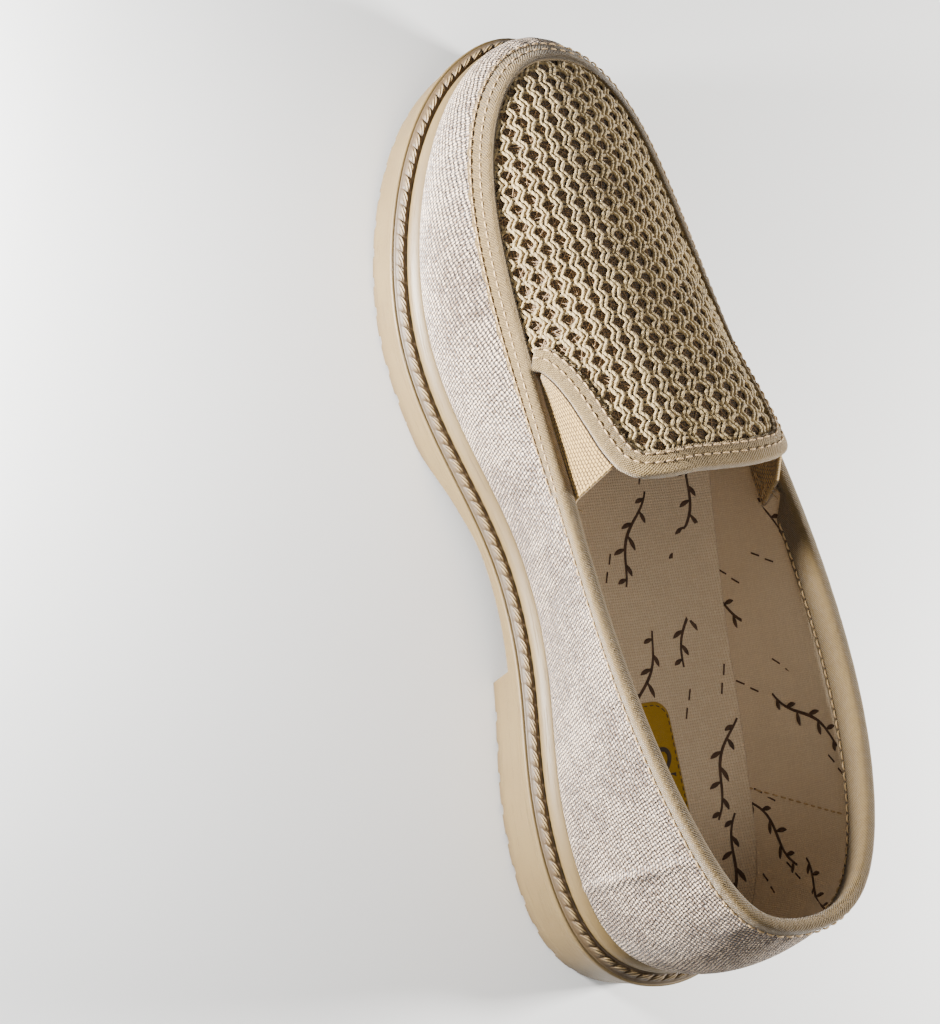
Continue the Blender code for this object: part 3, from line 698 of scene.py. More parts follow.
class Value:
    """A number that varies over the surface, with the usual operators."""

    def __init__(self, graph: "Graph", socket: bpy.types.NodeSocket) -> None:
        """Wraps a socket of a graph."""
        self.graph = graph
        self.socket = socket

    def _with(self, operation: str, *others: "Value | float", clamp: bool = False) -> "Value":
        """One Math node of this value and the others."""
        return self.graph.maths(operation, self, *others, clamp=clamp)

    def __add__(self, other: "Value | float") -> "Value":
        """Sum."""
        return self._with("ADD", other)

    __radd__ = __add__

    def __sub__(self, other: "Value | float") -> "Value":
        """Difference."""
        return self._with("SUBTRACT", other)

    def __rsub__(self, other: "Value | float") -> "Value":
        """Difference from the other."""
        return self.graph.maths("SUBTRACT", other, self)

    def __mul__(self, other: "Value | float") -> "Value":
        """Product."""
        return self._with("MULTIPLY", other)

    __rmul__ = __mul__

    def __truediv__(self, other: "Value | float") -> "Value":
        """Quotient."""
        return self._with("DIVIDE", other)

    def __rtruediv__(self, other: "Value | float") -> "Value":
        """Quotient of the other by this."""
        return self.graph.maths("DIVIDE", other, self)

    def __pow__(self, other: "Value | float") -> "Value":
        """Power."""
        return self._with("POWER", other)

    def sin(self) -> "Value":
        """Sine."""
        return self._with("SINE")

    def abs(self) -> "Value":
        """Size without sign."""
        return self._with("ABSOLUTE")

    def floor(self) -> "Value":
        """Whole part."""
        return self._with("FLOOR")

    def fract(self) -> "Value":
        """What is left past the whole part."""
        return self._with("FRACT")

    def clamped(self) -> "Value":
        """Kept from 0 to 1."""
        return self._with("ADD", 0.0, clamp=True)

    def between(self, low: float, high: float) -> "Value":
        """Soft step, 0 below low and 1 above high.

        Args:
            low: where it starts.
            high: where it ends.

        Returns:
            The step.
        """
        node = self.graph.node("ShaderNodeMapRange", {"interpolation_type": "SMOOTHSTEP"},
                               {"Value": self, "From Min": low, "From Max": high})
        return Value(self.graph, node.outputs["Result"])


class Graph:
    """Node tree of one material, built from expressions."""

    def __init__(self, name: str) -> None:
        """Starts a material with its Principled shader.

        Args:
            name: of the material.
        """
        self.material = bpy.data.materials.new(name)
        self.material.use_nodes = True
        self.tree = self.material.node_tree
        self.shader = self.tree.nodes["Principled BSDF"]

    def node(self, kind: str, settings: dict | None = None,
             inputs: dict | None = None) -> bpy.types.Node:
        """Adds a node.

        Args:
            kind: Blender's name for its type.
            settings: its properties, set first.
            inputs: values or links by socket name or number.

        Returns:
            The node.
        """
        made = self.tree.nodes.new(kind)
        for key, setting in (settings or {}).items():
            setattr(made, key, setting)
        for key, given in (inputs or {}).items():
            given = given.socket if isinstance(given, Value) else given
            if isinstance(given, bpy.types.NodeSocket):
                self.tree.links.new(given, made.inputs[key])
            else:
                made.inputs[key].default_value = given
        return made

    def maths(self, operation: str, *terms: Value | float, clamp: bool = False) -> Value:
        """One Math node.

        Args:
            operation: name of the node's operation.
            terms: its inputs.
            clamp: keeps the result in 0 to 1.

        Returns:
            The node's output.
        """
        made = self.node("ShaderNodeMath", {"operation": operation, "use_clamp": clamp},
                         dict(enumerate(terms)))
        return Value(self, made.outputs[0])

    def pattern(self) -> tuple[Value, Value]:
        """The piece's own pattern coordinates, in millimetres.

        Returns:
            The two coordinates.
        """
        made = self.node("ShaderNodeUVMap", {"uv_map": "pattern"})
        split = self.node("ShaderNodeSeparateXYZ", None, {0: made.outputs["UV"]})
        return Value(self, split.outputs["X"]), Value(self, split.outputs["Y"])

    def point(self) -> bpy.types.NodeSocket:
        """Place on the object."""
        return self.node("ShaderNodeTexCoord").outputs["Object"]

    def vector(self, x: Value | float, y: Value | float, z: Value | float = 0.0) -> bpy.types.NodeSocket:
        """Vector of three values."""
        return self.node("ShaderNodeCombineXYZ", None, {0: x, 1: y, 2: z}).outputs[0]

    def noise(self, at: bpy.types.NodeSocket, scale: float, detail: float = 2.0,
              rough: float = 0.5) -> Value:
        """Smooth noise, 0 to 1.

        Args:
            at: where it is taken.
            scale: patches in a unit of that place.
            detail: how many octaves.
            rough: share that an octave keeps.

        Returns:
            The noise.
        """
        made = self.node("ShaderNodeTexNoise", {"noise_dimensions": "3D"},
                         {"Vector": at, "Scale": scale, "Detail": detail, "Roughness": rough})
        return Value(self, made.outputs["Fac"])

    def blend(self, share: Value | float, first: object, second: object) -> bpy.types.NodeSocket:
        """Mix of two colours.

        Args:
            share: of the second colour.
            first: tuple or socket.
            second: tuple or socket.

        Returns:
            The mix's socket.
        """
        def colour(given: object) -> object:
            """A tuple with its alpha, or the socket."""
            return (*given, 1.0) if isinstance(given, tuple) else given

        made = self.node("ShaderNodeMix", {"data_type": "RGBA"},
                         {0: share, 6: colour(first), 7: colour(second)})
        return made.outputs[2]

    def finish(self, colour: object, rough: Value | float, height: Value | None = None,
               depth: float = 0.3, fixed: dict | None = None) -> bpy.types.Material:
        """Joins colour, roughness and relief to the shader.

        Args:
            colour: a colour socket.
            rough: roughness.
            height: relief, 0 to 1, or none.
            depth: of the relief, in millimetres.
            fixed: values of other sockets that are the same all over.

        Returns:
            The material.
        """
        self.tree.links.new(colour, self.shader.inputs["Base Color"])
        if isinstance(rough, Value):
            self.tree.links.new(rough.socket, self.shader.inputs["Roughness"])
        else:
            self.shader.inputs["Roughness"].default_value = rough
        if height is not None:
            bump = self.node("ShaderNodeBump", None, {"Height": height, "Distance": depth * MM,
                                                      "Strength": 1.0})
            self.tree.links.new(bump.outputs["Normal"], self.shader.inputs["Normal"])
        for key, value in (fixed or {}).items():
            self.shader.inputs[key].default_value = value
        return self.material


Colour = tuple[float, float, float]
CLOTH = {"Sheen Weight": 0.25, "Sheen Roughness": 0.5, "Specular IOR Level": 0.25}


@dataclass(frozen=True)
class Weave:
    """Plain woven cloth: two sets of yarns that pass over and under each other."""
    name: str
    light: Colour
    mid: Colour
    # gap is painted shade: the colour of the low places between the yarns, and open sets how much of the
    # cloth takes it
    gap: Colour
    pitch: float = 1.1
    pitch_up: float = 1.1
    depth: float = 0.4
    slub: float = 0.5
    mottle: float = 0.3
    grain: float = 0.0
    dive: float = 0.55
    open: float = 0.3

    def material(self) -> bpy.types.Material:
        """Every crossing shows one float, its height one less the squares of the distances across and
        along it, and warp and weft change places from one crossing to the next. Each yarn has its own
        shade, and the cloth sways a little.

        Returns:
            The material.
        """
        g = Graph(self.name)
        along, up = g.pattern()
        cos, sin = math.cos(math.radians(self.grain)), math.sin(math.radians(self.grain))
        u, v = along * cos - up * sin, along * sin + up * cos
        sway = g.noise(g.vector(u, v), 0.03, 1.0) - 0.5
        wobble = g.noise(g.vector(u, v), 0.35, 2.0) - 0.5
        a = u / self.pitch + sway * 2.4 + wobble * self.slub
        b = v / self.pitch_up + sway * 1.6 - wobble * self.slub
        off_warp = (a.fract() * 2 - 1) ** 2
        off_weft = (b.fract() * 2 - 1) ** 2
        warp_on_top = ((a.floor() + b.floor()) * 0.5).fract() * 2
        warp = 1 - off_warp - off_weft * self.dive
        weft = 1 - off_weft - off_warp * self.dive
        fibre = g.noise(g.vector(u, v), 2.3, 3.0, 0.7)
        height = warp * warp_on_top + weft * (1 - warp_on_top) + (fibre - 0.5) * self.slub
        warp_shade = g.noise(g.vector(a.floor() * 7.3, v * 0.12), 1.0, 1.0)
        weft_shade = g.noise(g.vector(u * 0.12, b.floor() * 5.7), 1.0, 1.0)
        shade = warp_shade * warp_on_top + weft_shade * (1 - warp_on_top)
        each = g.noise(g.vector(a.floor() * 3.1, b.floor() * 4.7), 1.0, 0.0)
        broad = g.noise(g.point(), 45.0, 3.0)
        tone = shade * 0.45 + fibre * 0.25 + each * 0.3 + (broad - 0.5) * self.mottle
        yarn = g.blend(tone.between(0.38, 0.62), self.mid, self.light)
        # the low places between the yarns take the gap colour: painted shade in the gaps
        colour = g.blend(height.between(self.open - 0.25, self.open + 0.3), self.gap, yarn)
        return g.finish(colour, 0.92, height.clamped() + (shade + each) * 0.3, self.depth, CLOTH)


@dataclass(frozen=True)
class Twill:
    """Narrow tape with fine slanted ribs."""
    name: str
    light: Colour
    dark: Colour
    rib: float = 0.9
    thread: float = 0.5
    depth: float = 0.18

    def material(self) -> bpy.types.Material:
        """Ribs are a sine across the slant, broken by fine threads across them.

        Returns:
            The material.
        """
        g = Graph(self.name)
        u, v = g.pattern()
        slant = ((u + v * 1.1) * (math.pi / self.rib)).sin().abs()
        thread = (u * (math.pi / self.thread)).sin().abs() * 0.5 + 0.5
        height = slant * thread
        broad = g.noise(g.point(), 60.0, 4.0, 0.6)
        fine = g.noise(g.vector(u, v), 1.4, 3.0)
        lump = g.noise(g.vector(u * 0.42, v * 0.3), 1.0, 2.0)
        # the tone follows the rib height, so the troughs between ribs are darker: painted shade, mixed
        # with the tape's own random tone
        tone = (height * 0.6 + broad * 0.35 + fine * 0.3 + (lump - 0.5) * 0.3).between(0.25, 0.85)
        return g.finish(g.blend(tone, self.dark, self.light), 0.88, height + fine * 0.8 + lump * 3,
                        self.depth, CLOTH)


@dataclass(frozen=True)
class Cord:
    """Twisted yarn of the crocheted vamp."""
    name: str
    light: Colour
    dark: Colour
    lay: float = 1.5
    depth: float = 0.22

    def material(self) -> bpy.types.Material:
        """Plies are a sine of the way along plus the way round, with loose fibres over them.

        Returns:
            The material.
        """
        g = Graph(self.name)
        u, v = g.pattern()
        plies = ((u / self.lay + v * 0.55) * math.pi).sin().abs()
        fibre = g.noise(g.vector(u * 0.8, v * 3.0), 2.4, 3.0, 0.65)
        broad = g.noise(g.point(), 90.0, 3.0, 0.6)
        # the tone follows the plies, so the grooves between them are darker: painted shade, mixed with
        # the yarn's own random tone
        tone = (plies * 0.45 + fibre * 0.45 + (broad - 0.5) * 0.9 + 0.1).between(0.1, 0.8)
        return g.finish(g.blend(tone, self.dark, self.light), 0.86, plies * 0.7 + fibre * 0.6,
                        self.depth, CLOTH)


@dataclass(frozen=True)
class Elastic:
    """Ribbed elastic web with a paler selvedge along its free edge, where the pattern's u is 0."""
    name: str
    light: Colour
    dark: Colour
    selvedge: Colour
    rib: float = 1.1

    def material(self) -> bpy.types.Material:
        """Ribs across, each broken into small stitches that alternate from rib to rib.

        Returns:
            The material.
        """
        g = Graph(self.name)
        u, v = g.pattern()
        row = v / self.rib
        rib = 1 - (row.fract() * 2 - 1) ** 2
        stitch = 1 - ((u / (self.rib * 1.1) + row.floor() * 0.5).fract() * 2 - 1) ** 4
        height = rib * 0.6 + stitch * 0.5 - 0.1
        shade = g.noise(g.vector(u, v), 0.5, 2.0)
        # the body tone follows the height, so the troughs between ribs and stitches take the dark
        # colour: painted shade, mixed with random tone
        body = g.blend((height * 0.8 + shade * 0.35).between(0.45, 1.0), self.dark, self.light)
        colour = g.blend(u.between(0.6, 1.0), self.selvedge, body)
        return g.finish(colour, 0.78, height, 0.3, CLOTH)


@dataclass(frozen=True)
class Rubber:
    """Moulded sole: satin, lightly mottled, darker towards the floor low on the wall, with faint scuffs.
    """
    name: str
    light: Colour
    dark: Colour
    low_and_scuff_tone: Colour

    def material(self) -> bpy.types.Material:
        """The colour darkens towards the floor, and scuffs are thin stretched noise along the wall.

        Returns:
            The material.
        """
        g = Graph(self.name)
        u, v = g.pattern()
        at = g.point()
        above_floor = Value(g, g.node("ShaderNodeSeparateXYZ", None, {0: at}).outputs["Z"])
        mottle = g.noise(at, 35.0, 5.0, 0.6)
        grain = g.noise(at, 1500.0, 2.0)
        scuff = g.noise(g.vector(u * 0.05, v * 2.2), 1.0, 4.0, 0.7).between(0.57, 0.66)
        # darker towards the floor: within 5 mm of it the colour turns to the darker tone
        low = 1 - above_floor.between(0.5 * MM, 5 * MM)
        body = g.blend(mottle.between(0.3, 0.7), self.dark, self.light)
        colour = g.blend((low * 0.6 + scuff * 0.5) * (mottle + 0.4), body, self.low_and_scuff_tone)
        rough = 0.44 + mottle * 0.14 + scuff * 0.15
        return g.finish(colour, rough, grain * 0.5 + mottle * 0.8 - scuff * 0.5, 0.08,
                        {"Specular IOR Level": 0.4})


@dataclass(frozen=True)
class Rope:
    """Rope relief of the sole: pale bundles of slanted yarns on a brown washed bed."""
    name: str
    light: Colour
    wash: Colour
    bundle: float = 4.6
    yarn: float = 0.72
    tilt: float = 0.22
    slant: float = 0.36

    def material(self) -> bpy.types.Material:
        """The pattern's v is the way across from the middle. A bundle is a lens along the rope, tilted
        by the way across, and its yarns are a sine of the way along and across.

        Returns:
            The material.
        """
        g = Graph(self.name)
        u, v = g.pattern()
        lens = 1 - ((u / self.bundle + v * self.tilt).fract() * 2 - 1) ** 4
        body = (1 - (v / 0.92) ** 2).clamped() * lens
        yarns = ((v + u * self.slant) * (math.pi / self.yarn)).sin().abs()
        uneven = g.noise(g.point(), 160.0, 3.0)
        tone = (body * (yarns * 1.1 + 0.1) + (uneven - 0.5) * 0.35).between(0.3, 0.9)
        return g.finish(g.blend(tone, self.wash, self.light), 0.6, body * yarns + uneven * 0.3, 0.3)


@dataclass(frozen=True)
class Plain:
    """Plain finish with a slight unevenness: thread, ink, dark backing, floor."""
    name: str
    light: Colour
    dark: Colour
    rough: float = 0.8
    scale: float = 300.0
    depth: float = 0.1

    def material(self) -> bpy.types.Material:
        """Two shades mixed by noise.

        Returns:
            The material.
        """
        g = Graph(self.name)
        tone = g.noise(g.point(), self.scale, 3.0, 0.6)
        colour = g.blend(tone.between(0.3, 0.7), self.dark, self.light)
        return g.finish(colour, self.rough, tone, self.depth)


class Cloth(Enum):
    """Finishes of the shoe."""
    # the third colour of each weave is painted shade in the gaps between its yarns
    LINEN = Weave("linen", (0.92, 0.67, 0.45), (0.25, 0.152, 0.084), (0.025, 0.012, 0.006),
                  1.05, 1.15, 1.0, 0.9, 0.35, 18.0, 0.45, 0.64)
    CANVAS = Weave("canvas", (0.62, 0.49, 0.335), (0.56, 0.435, 0.295), (0.45, 0.34, 0.22),
                   0.62, 0.62, 0.1, 0.3, 0.2, 0.0, 0.55, 0.1)
    SOCK_CANVAS = Weave("insole canvas", (0.54, 0.415, 0.275), (0.485, 0.365, 0.24),
                        (0.38, 0.275, 0.175), 0.85, 0.85, 0.16, 0.4, 0.2, 0.0, 0.55, 0.15)
    BACKING = Weave("backing", (0.22, 0.135, 0.06), (0.16, 0.095, 0.041), (0.045, 0.024, 0.01),
                    0.8, 0.8, 0.3, 0.3, 0.3)
    # the darker colour of the tapes, cords and elastic falls in their troughs as painted shade, and
    # elsewhere as their own random tone
    TAPE = Twill("binding tape", (0.13, 0.082, 0.026), (0.055, 0.032, 0.009))
    LIGHT_TAPE = Twill("throat tape", (0.185, 0.122, 0.046), (0.090, 0.055, 0.018))
    CORD = Cord("crochet cord", (0.36, 0.258, 0.115), (0.112, 0.070, 0.026))
    # darker copy of the cord for the threads deep in the holes: painted shade
    THIN_CORD = Cord("crochet thread", (0.28, 0.18, 0.09), (0.14, 0.08, 0.035))
    ELASTIC = Elastic("elastic", (0.40, 0.245, 0.068), (0.045, 0.022, 0.006), (0.30, 0.185, 0.058))
    # third colour: the darker tone low on the wall and in the scuffs
    RUBBER = Rubber("moulded rubber", (0.126, 0.083, 0.031), (0.107, 0.069, 0.025), (0.05, 0.029, 0.010))
    ROPE = Rope("rope relief", (0.205, 0.137, 0.058), (0.06, 0.035, 0.012))
    THREAD = Plain("thread", (0.42, 0.285, 0.14), (0.30, 0.19, 0.085), 0.7, 900.0)
    # near-black discs at the needle holes: painted shade
    NEEDLE_HOLE = Plain("needle hole", (0.05, 0.025, 0.01), (0.03, 0.015, 0.006), 0.9)
    INK = Plain("brown ink", (0.07, 0.035, 0.017), (0.04, 0.02, 0.01), 0.85, 800.0, 0.02)
    LABEL = Weave("label cloth", (0.34, 0.19, 0.001), (0.30, 0.165, 0.001), (0.17, 0.09, 0.0005),
                  0.35, 0.35, 0.06, 0.2, 0.2)
    LABEL_INK = Plain("label ink", (0.04, 0.025, 0.012), (0.03, 0.018, 0.009), 0.7, 800.0, 0.02)

    def material(self) -> bpy.types.Material:
        """The finish as a material, made once."""
        made = bpy.data.materials.get(self.value.name)
        return made or self.value.material()


# Stitching

@dataclass
class Seam:
    """A row of stitches that follows a line on a surface, each an arched bit of thread."""
    stitch: float = 2.25 * MM
    pitch: float = 3.0 * MM
    radius: float = 0.29 * MM
    arch: float = 0.20 * MM
    sink: float = 0.16 * MM

    def sew(self, thread: Skin, holes: Skin | None, line: Array, normals: Array) -> None:
        """Adds the stitches of one row.

        Args:
            thread: gets the thread.
            holes: gets the dark discs of painted shade at the needle holes between stitches, or none.
            line: points along the row.
            normals: off the surface, at the same points.
        """
        along = arc(line) * MM
        count = max(int(along[-1] / self.pitch), 1)
        pitch = along[-1] / count
        share = np.linspace(-0.5, 0.5, 6)
        at = (np.arange(count) + 0.5)[:, None] * pitch + share * self.stitch

        def read(values: Array, where: Array) -> Array:
            """Values at lengths along the row."""
            return np.stack([np.interp(where, along, values[:, k]) for k in range(3)], axis=-1)

        up = unit(read(normals, at))
        lift = self.arch * (1 - (2 * share) ** 2) - self.sink * (2 * share) ** 6
        paths = read(line, at) + up * lift[None, :, None]
        thin = self.radius * (1 - 0.45 * (2 * np.abs(share)) ** 3)
        thread.tubes(paths, up, thin[None, :], sides=5)
        if holes is None:
            return
        # dark flat discs at the needle holes between stitches: painted shade in the holes
        gaps = (np.arange(count - 1) + 1)[:, None] * pitch + np.array([-0.18, 0, 0.18]) * MM
        up = unit(read(normals, gaps))
        holes.tubes(read(line, gaps) + up * 0.03 * MM, up, 0.25 * MM, sides=6, flat=0.4)


# Sub-assemblies

@dataclass
class Sole:
    """Moulded sole: tread, side wall with its parting line, ledge, bead, and the rope relief."""
    form: Form
    ledge_drop: float = 7.8 * MM
    ledge_rise: float = 2.2 * MM
    rope_width: float = 3.2 * MM
    rope_height: float = 1.75 * MM
    bead_proud: float = 1.1 * MM
    parting_drop: float = 2.6 * MM
    gap: float = 0.3 * MM
    tread_border: float = 9 * MM
    notch_pitch: float = 9 * MM
    notch_width: float = 2.6 * MM
    notch_depth: float = 1.2 * MM
    notch_edge: float = 0.5 * MM
    arch_turns: tuple[float, float] = (3.85, 6.3)
    columns: int = 1400
    rope_columns: int = 4200

    def notches(self, turn: Array) -> Array:
        """Depth of the tread's notches: soft-edged boxes at an even pitch, none under the arch.

        Args:
            turn: where round the shoe.

        Returns:
            Depths.
        """
        around = np.linspace(0, ROUND, 4001)
        length = arc(self.form.sole_point(around, 0.0, 0 * around)) * MM
        count = round(length[-1] / self.notch_pitch)
        step = length[-1] / count
        place = np.interp(turn % ROUND, around, length)
        off = np.abs((place / step) % 1 - 0.5) * step
        cut = 1 - eased((off - self.notch_width / 2) / self.notch_edge + 0.5)
        half = half_turn(turn)
        return self.notch_depth * cut * ((half < self.arch_turns[0]) | (half > self.arch_turns[1]))

    def turns(self) -> Array:
        """Even turns round the shoe, with one on either edge of the heel block's front face.

        Returns:
            The turns.
        """
        half = np.linspace(0, TOE, self.columns // 2 + 1)
        face = np.array([TREAD_ROWS[1].at, TREAD_ROWS[2].at])
        clear = (half < face[0] - STEP / 2) | (half > face[1] + STEP / 2)
        half = np.sort(np.concatenate([half[clear], face]))
        return np.concatenate([half, ROUND - half[-2:0:-1]])

    def profile(self, turn: Array) -> list[tuple[float, Array]]:
        """Section of the sole from the tread's border to the bead.

        Args:
            turn: where round the shoe.

        Returns:
            Inset and heights of each row.
        """
        form = self.form
        floor, seat, notch = form.tread(turn), form.feather(turn), self.notches(turn)
        ledge = seat - self.ledge_drop
        bead = ledge + self.ledge_rise
        inner = self.rope_width + 2 * self.gap
        wall_low, wall_high = floor + 1.6 * MM + 0.3 * notch, ledge - self.parting_drop
        rows = [(self.tread_border, floor), (7.3 * MM, floor), (7.0 * MM, floor + notch),
                (1.9 * MM, floor + notch), (1.2 * MM, floor + notch + 0.05 * MM),
                (0.75 * MM, floor + 0.35 * MM + notch), (0.52 * MM, floor + 0.9 * MM + 0.6 * notch)]
        for share in (0.0, 0.25, 0.5, 0.75, 0.93, 1.0):
            rows.append((0.42 * MM * (1 - share), wall_low + (wall_high - wall_low) * share))
        for inset, drop in ((-0.12, 2.5), (-0.42, 2.2), (-0.5, 1.9), (-0.5, 1.2), (-0.5, 0.5),
                            (-0.42, 0.2), (-0.22, 0.03), (0.1, 0.0)):
            rows.append((inset * MM, ledge - drop * MM))
        for inset, rise in ((0.5, -0.05), (1.2, 0.25), (2.2, 0.75), (3.3, 1.35)):
            rows.append((inset * MM, ledge + rise * MM))
        rows.append((inner, bead - 0.25 * self.ledge_rise))
        for share in np.linspace(0, 1, 11):
            reach = inner + (form.upper_inset + self.bead_proud - inner) * share ** 2
            rows.append((reach - 0.75 * MM * math.sin(math.pi * share) ** 0.7,
                         bead + (seat - self.gap - bead) * share))
        return rows

    def build_body(self) -> bpy.types.Object:
        """Section carried round the outline, its two open ends closed by strips across.

        Returns:
            The sole.
        """
        form = self.form
        turn = self.turns()
        points = np.stack([form.sole_point(turn, *row) for row in self.profile(turn)])
        count = len(turn)
        length = arc(form.sole_point(np.append(turn, ROUND), 0.0, np.zeros(count + 1)))
        across = arc(points[:, 0])
        uv = np.stack(np.meshgrid(length, across), axis=-1)
        skin = Skin()
        index = skin.grid(points, uv, wrap_columns=True)
        for row, flip in ((index[0], -1), (index[-1], 1)):
            middle = count // 2
            near = np.arange(1, middle - 1)
            strips = np.stack([row[near], row[near + 1], row[count - near - 1], row[count - near]], -1)
            ends = np.array([[row[0], row[1], row[-1]], [row[middle - 1], row[middle], row[middle + 1]]])
            for faces in (strips, ends):
                flat = points.reshape(-1, 3)[faces][..., :2] / MM
                skin.polygons(faces[:, ::flip], flat[:, ::flip])
        body = skin.build("sole_body", Cloth.RUBBER.material(), closed=True, sharp=50)
        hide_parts("outsole")
        return body

    def build_rope(self) -> bpy.types.Object:
        """Low bed on the ledge with the rope along its middle: bundles of slanted yarns, each bundle a
        lens along the rope, so its height is a product of the lens, the round section and the yarns.

        Returns:
            The rope relief.
        """
        form, look = self.form, Cloth.ROPE.value
        around = np.linspace(0, ROUND, self.rope_columns + 1)
        turn = around[:-1]
        length = arc(form.sole_point(around, 0.0, 0 * around))
        along = length * round(length[-1] / look.bundle) * look.bundle / length[-1]
        half = self.rope_width / 2 / MM
        across = np.linspace(-half, half, 15)
        s, c = along[:-1], across[:, None]
        lens = 1 - (((s / look.bundle + c * look.tilt) % 1) * 2 - 1) ** 4
        section = np.clip(1 - (c / 0.95) ** 2, 0, 1)
        yarns = np.abs(np.sin((c + s * look.slant) * math.pi / look.yarn))
        bed = 0.42 + 0.16 * (1 - np.abs(c / half) ** 3)
        lift = np.clip(bed + section ** 0.6 * lens * (0.75 + 0.3 * yarns), 0, self.rope_height / MM) * MM
        ledge = form.feather(turn) - self.ledge_drop
        reach = (self.rope_width / 2 + across * MM)[:, None]
        base = ledge + 0.75 * self.ledge_rise / self.rope_width * reach
        reach = np.concatenate([reach, reach[[-1, 0]]])
        height = np.concatenate([base + lift, base[[-1, 0]] + self.gap])
        points = np.stack([form.sole_point(turn, self.gap + at + 0 * turn, up)
                           for at, up in zip(reach, height)])
        uv = np.stack(np.meshgrid(along, np.concatenate([across, [half, -half, -half]])), axis=-1)
        skin = Skin()
        skin.grid(points, uv, wrap_rows=True, wrap_columns=True)
        rope = skin.build("rope_relief", Cloth.ROPE.material(), closed=True, sharp=80)
        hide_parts("rope_trim")
        return rope


@dataclass
class Band:
    """Linen wall all round the shoe, with its soft folds and the pucker under the tape."""
    form: Form
    columns: int = 620
    rows: int = 40
    thickness: float = 0.9 * MM
    tuck: float = 0.5 * MM
    tuck_height: float = 1.6
    pucker: float = 0.16 * MM
    pucker_pitch: float = 7.5
    pucker_below: float = 7
    pucker_spread: float = 5

    def relief(self, turn: Array, rise: Array, length: Array) -> Array:
        """How far the linen stands off its plain form: tucked at the foot, puckered at the tape.

        Args:
            turn: where round the shoe.
            rise: where up the band.
            length: length along the band at each turn, in mm.

        Returns:
            Distances, outwards.
        """
        height = self.form.band_height(turn) / MM
        tuck = -self.tuck * np.exp(-(rise * height / self.tuck_height) ** 2)
        near_tape = np.exp(-(((1 - rise) * height - self.pucker_below) / self.pucker_spread) ** 2)
        wave = np.sin(length / self.pucker_pitch * 2 * math.pi + 2.0 * np.sin(length / 23))
        return tuck - self.form.crease(turn, rise) + self.pucker * wave * near_tape

    def build(self) -> bpy.types.Object:
        """Grid of turn and rise on the band's outside.

        Returns:
            The linen wall.
        """
        form = self.form
        rise = np.linspace(0, 1, self.rows)[:, None]
        turn, uv = form.band_grid(self.columns, rise)
        out = self.relief(turn, rise, uv[:, :-1, 0])
        skin = Skin()
        skin.grid(form.shifted(form.band, turn, rise, out), uv, wrap_columns=True,
                  facing=form.normal(form.band, turn, rise))
        wall = skin.build("linen_band", Cloth.LINEN.material())
        thicken(wall, self.thickness)
        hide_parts("upper")
        return wall


class VampMap:
    """Flat coordinates on the vamp: station along the shoe and arc length across it from the ridge."""

    def __init__(self, form: Form, first: float = 0.470, last: float = 0.950, rows: int = 150,
                 reach: float = 60.0) -> None:
        """Reads cross sections of the vamp at even stations and lays each out by its arc length.

        Args:
            form: the shoe.
            first: station of the first section, as a share of the length.
            last: station of the last one.
            rows: number of sections.
            reach: arc length on either side, in millimetres.
        """
        self.form = form
        self.stations = np.linspace(first, last, rows) * form.length
        self.across = np.arange(-reach, reach + 0.25, 0.5)
        self.base = form.length / 2 + form.shift[1]
        medial, lateral = (self.side(on) for on in (True, False))
        table, limits = [], []
        for row in range(rows):
            line = np.concatenate([medial[:, :, row], lateral[-2::-1, :, row]])
            length = arc(line)
            c = length - np.interp(0.0, -(line[:, 0] - form.shift[0]), length)
            table.append([np.interp(self.across, c, line[:, axis]) for axis in (0, 1)])
            limits.append((c[0], c[-1]))
        self.table = np.array(table)
        self.limits = np.array(limits)

    def side(self, medial: bool, rises: int = 46, turns: int = 200) -> Array:
        """Cross sections of one side, which past the toe stay at the last point reached.

        Args:
            medial: which side.
            rises: number of points up each section.
            turns: number of turns read.

        Returns:
            Side and height, shape (rises, 2, stations).
        """
        turn = on_side(np.linspace(4.6, TOE, turns), medial)
        cloud = self.form.vamp(turn[None, :], np.linspace(0, 1, rises)[:, None])
        station = self.base - cloud[..., 1]
        section = np.stack([[np.interp(self.stations, station[k], cloud[k, :, axis])
                             for axis in (0, 2)] for k in range(rises)])
        reached = station[:, -1:] >= self.stations
        last_rise = np.maximum(reached.sum(axis=0) - 1, 0)
        for k in range(rises):
            beyond = k > last_rise
            section[k][:, beyond] = section[last_rise[beyond], :, np.nonzero(beyond)[0]].T
        return section

    def points(self, station: Array, across: Array) -> Array:
        """Points of the vamp's outside, read between the sections (bilinear).

        Args:
            station: in metres.
            across: arc length from the ridge in millimetres, positive to the lateral side.

        Returns:
            The points.
        """
        i, j = (np.clip((at - line[0]) / (line[1] - line[0]), 0, len(line) - 1.001)
                for at, line in ((station, self.stations), (across, self.across)))
        i0, j0 = i.astype(int), j.astype(int)
        a, b = i - i0, j - j0
        x, z = ((1 - a) * (1 - b) * self.table[i0, axis, j0] + (1 - a) * b * self.table[i0, axis, j0 + 1]
                + a * (1 - b) * self.table[i0 + 1, axis, j0] + a * b * self.table[i0 + 1, axis, j0 + 1]
                for axis in (0, 1))
        return np.stack([x, self.base - station, z], axis=-1)

    def normals(self, station: Array, across: Array) -> Array:
        """Outward normals there, from the slopes over 3 mm.

        Args:
            station: along the shoe, in metres.
            across: arc lengths from the ridge, in millimetres.

        Returns:
            The normals.
        """
        ahead = self.points(station + 1.5 * MM, across) - self.points(station - 1.5 * MM, across)
        aside = self.points(station, across + 1.5) - self.points(station, across - 1.5)
        return unit(np.cross(aside, ahead))

    def edges(self, station: Array) -> tuple[Array, Array]:
        """Arc lengths of the medial and the lateral seam at a station."""
        low = np.interp(station, self.stations, self.limits[:, 0])
        return low, np.interp(station, self.stations, self.limits[:, 1])


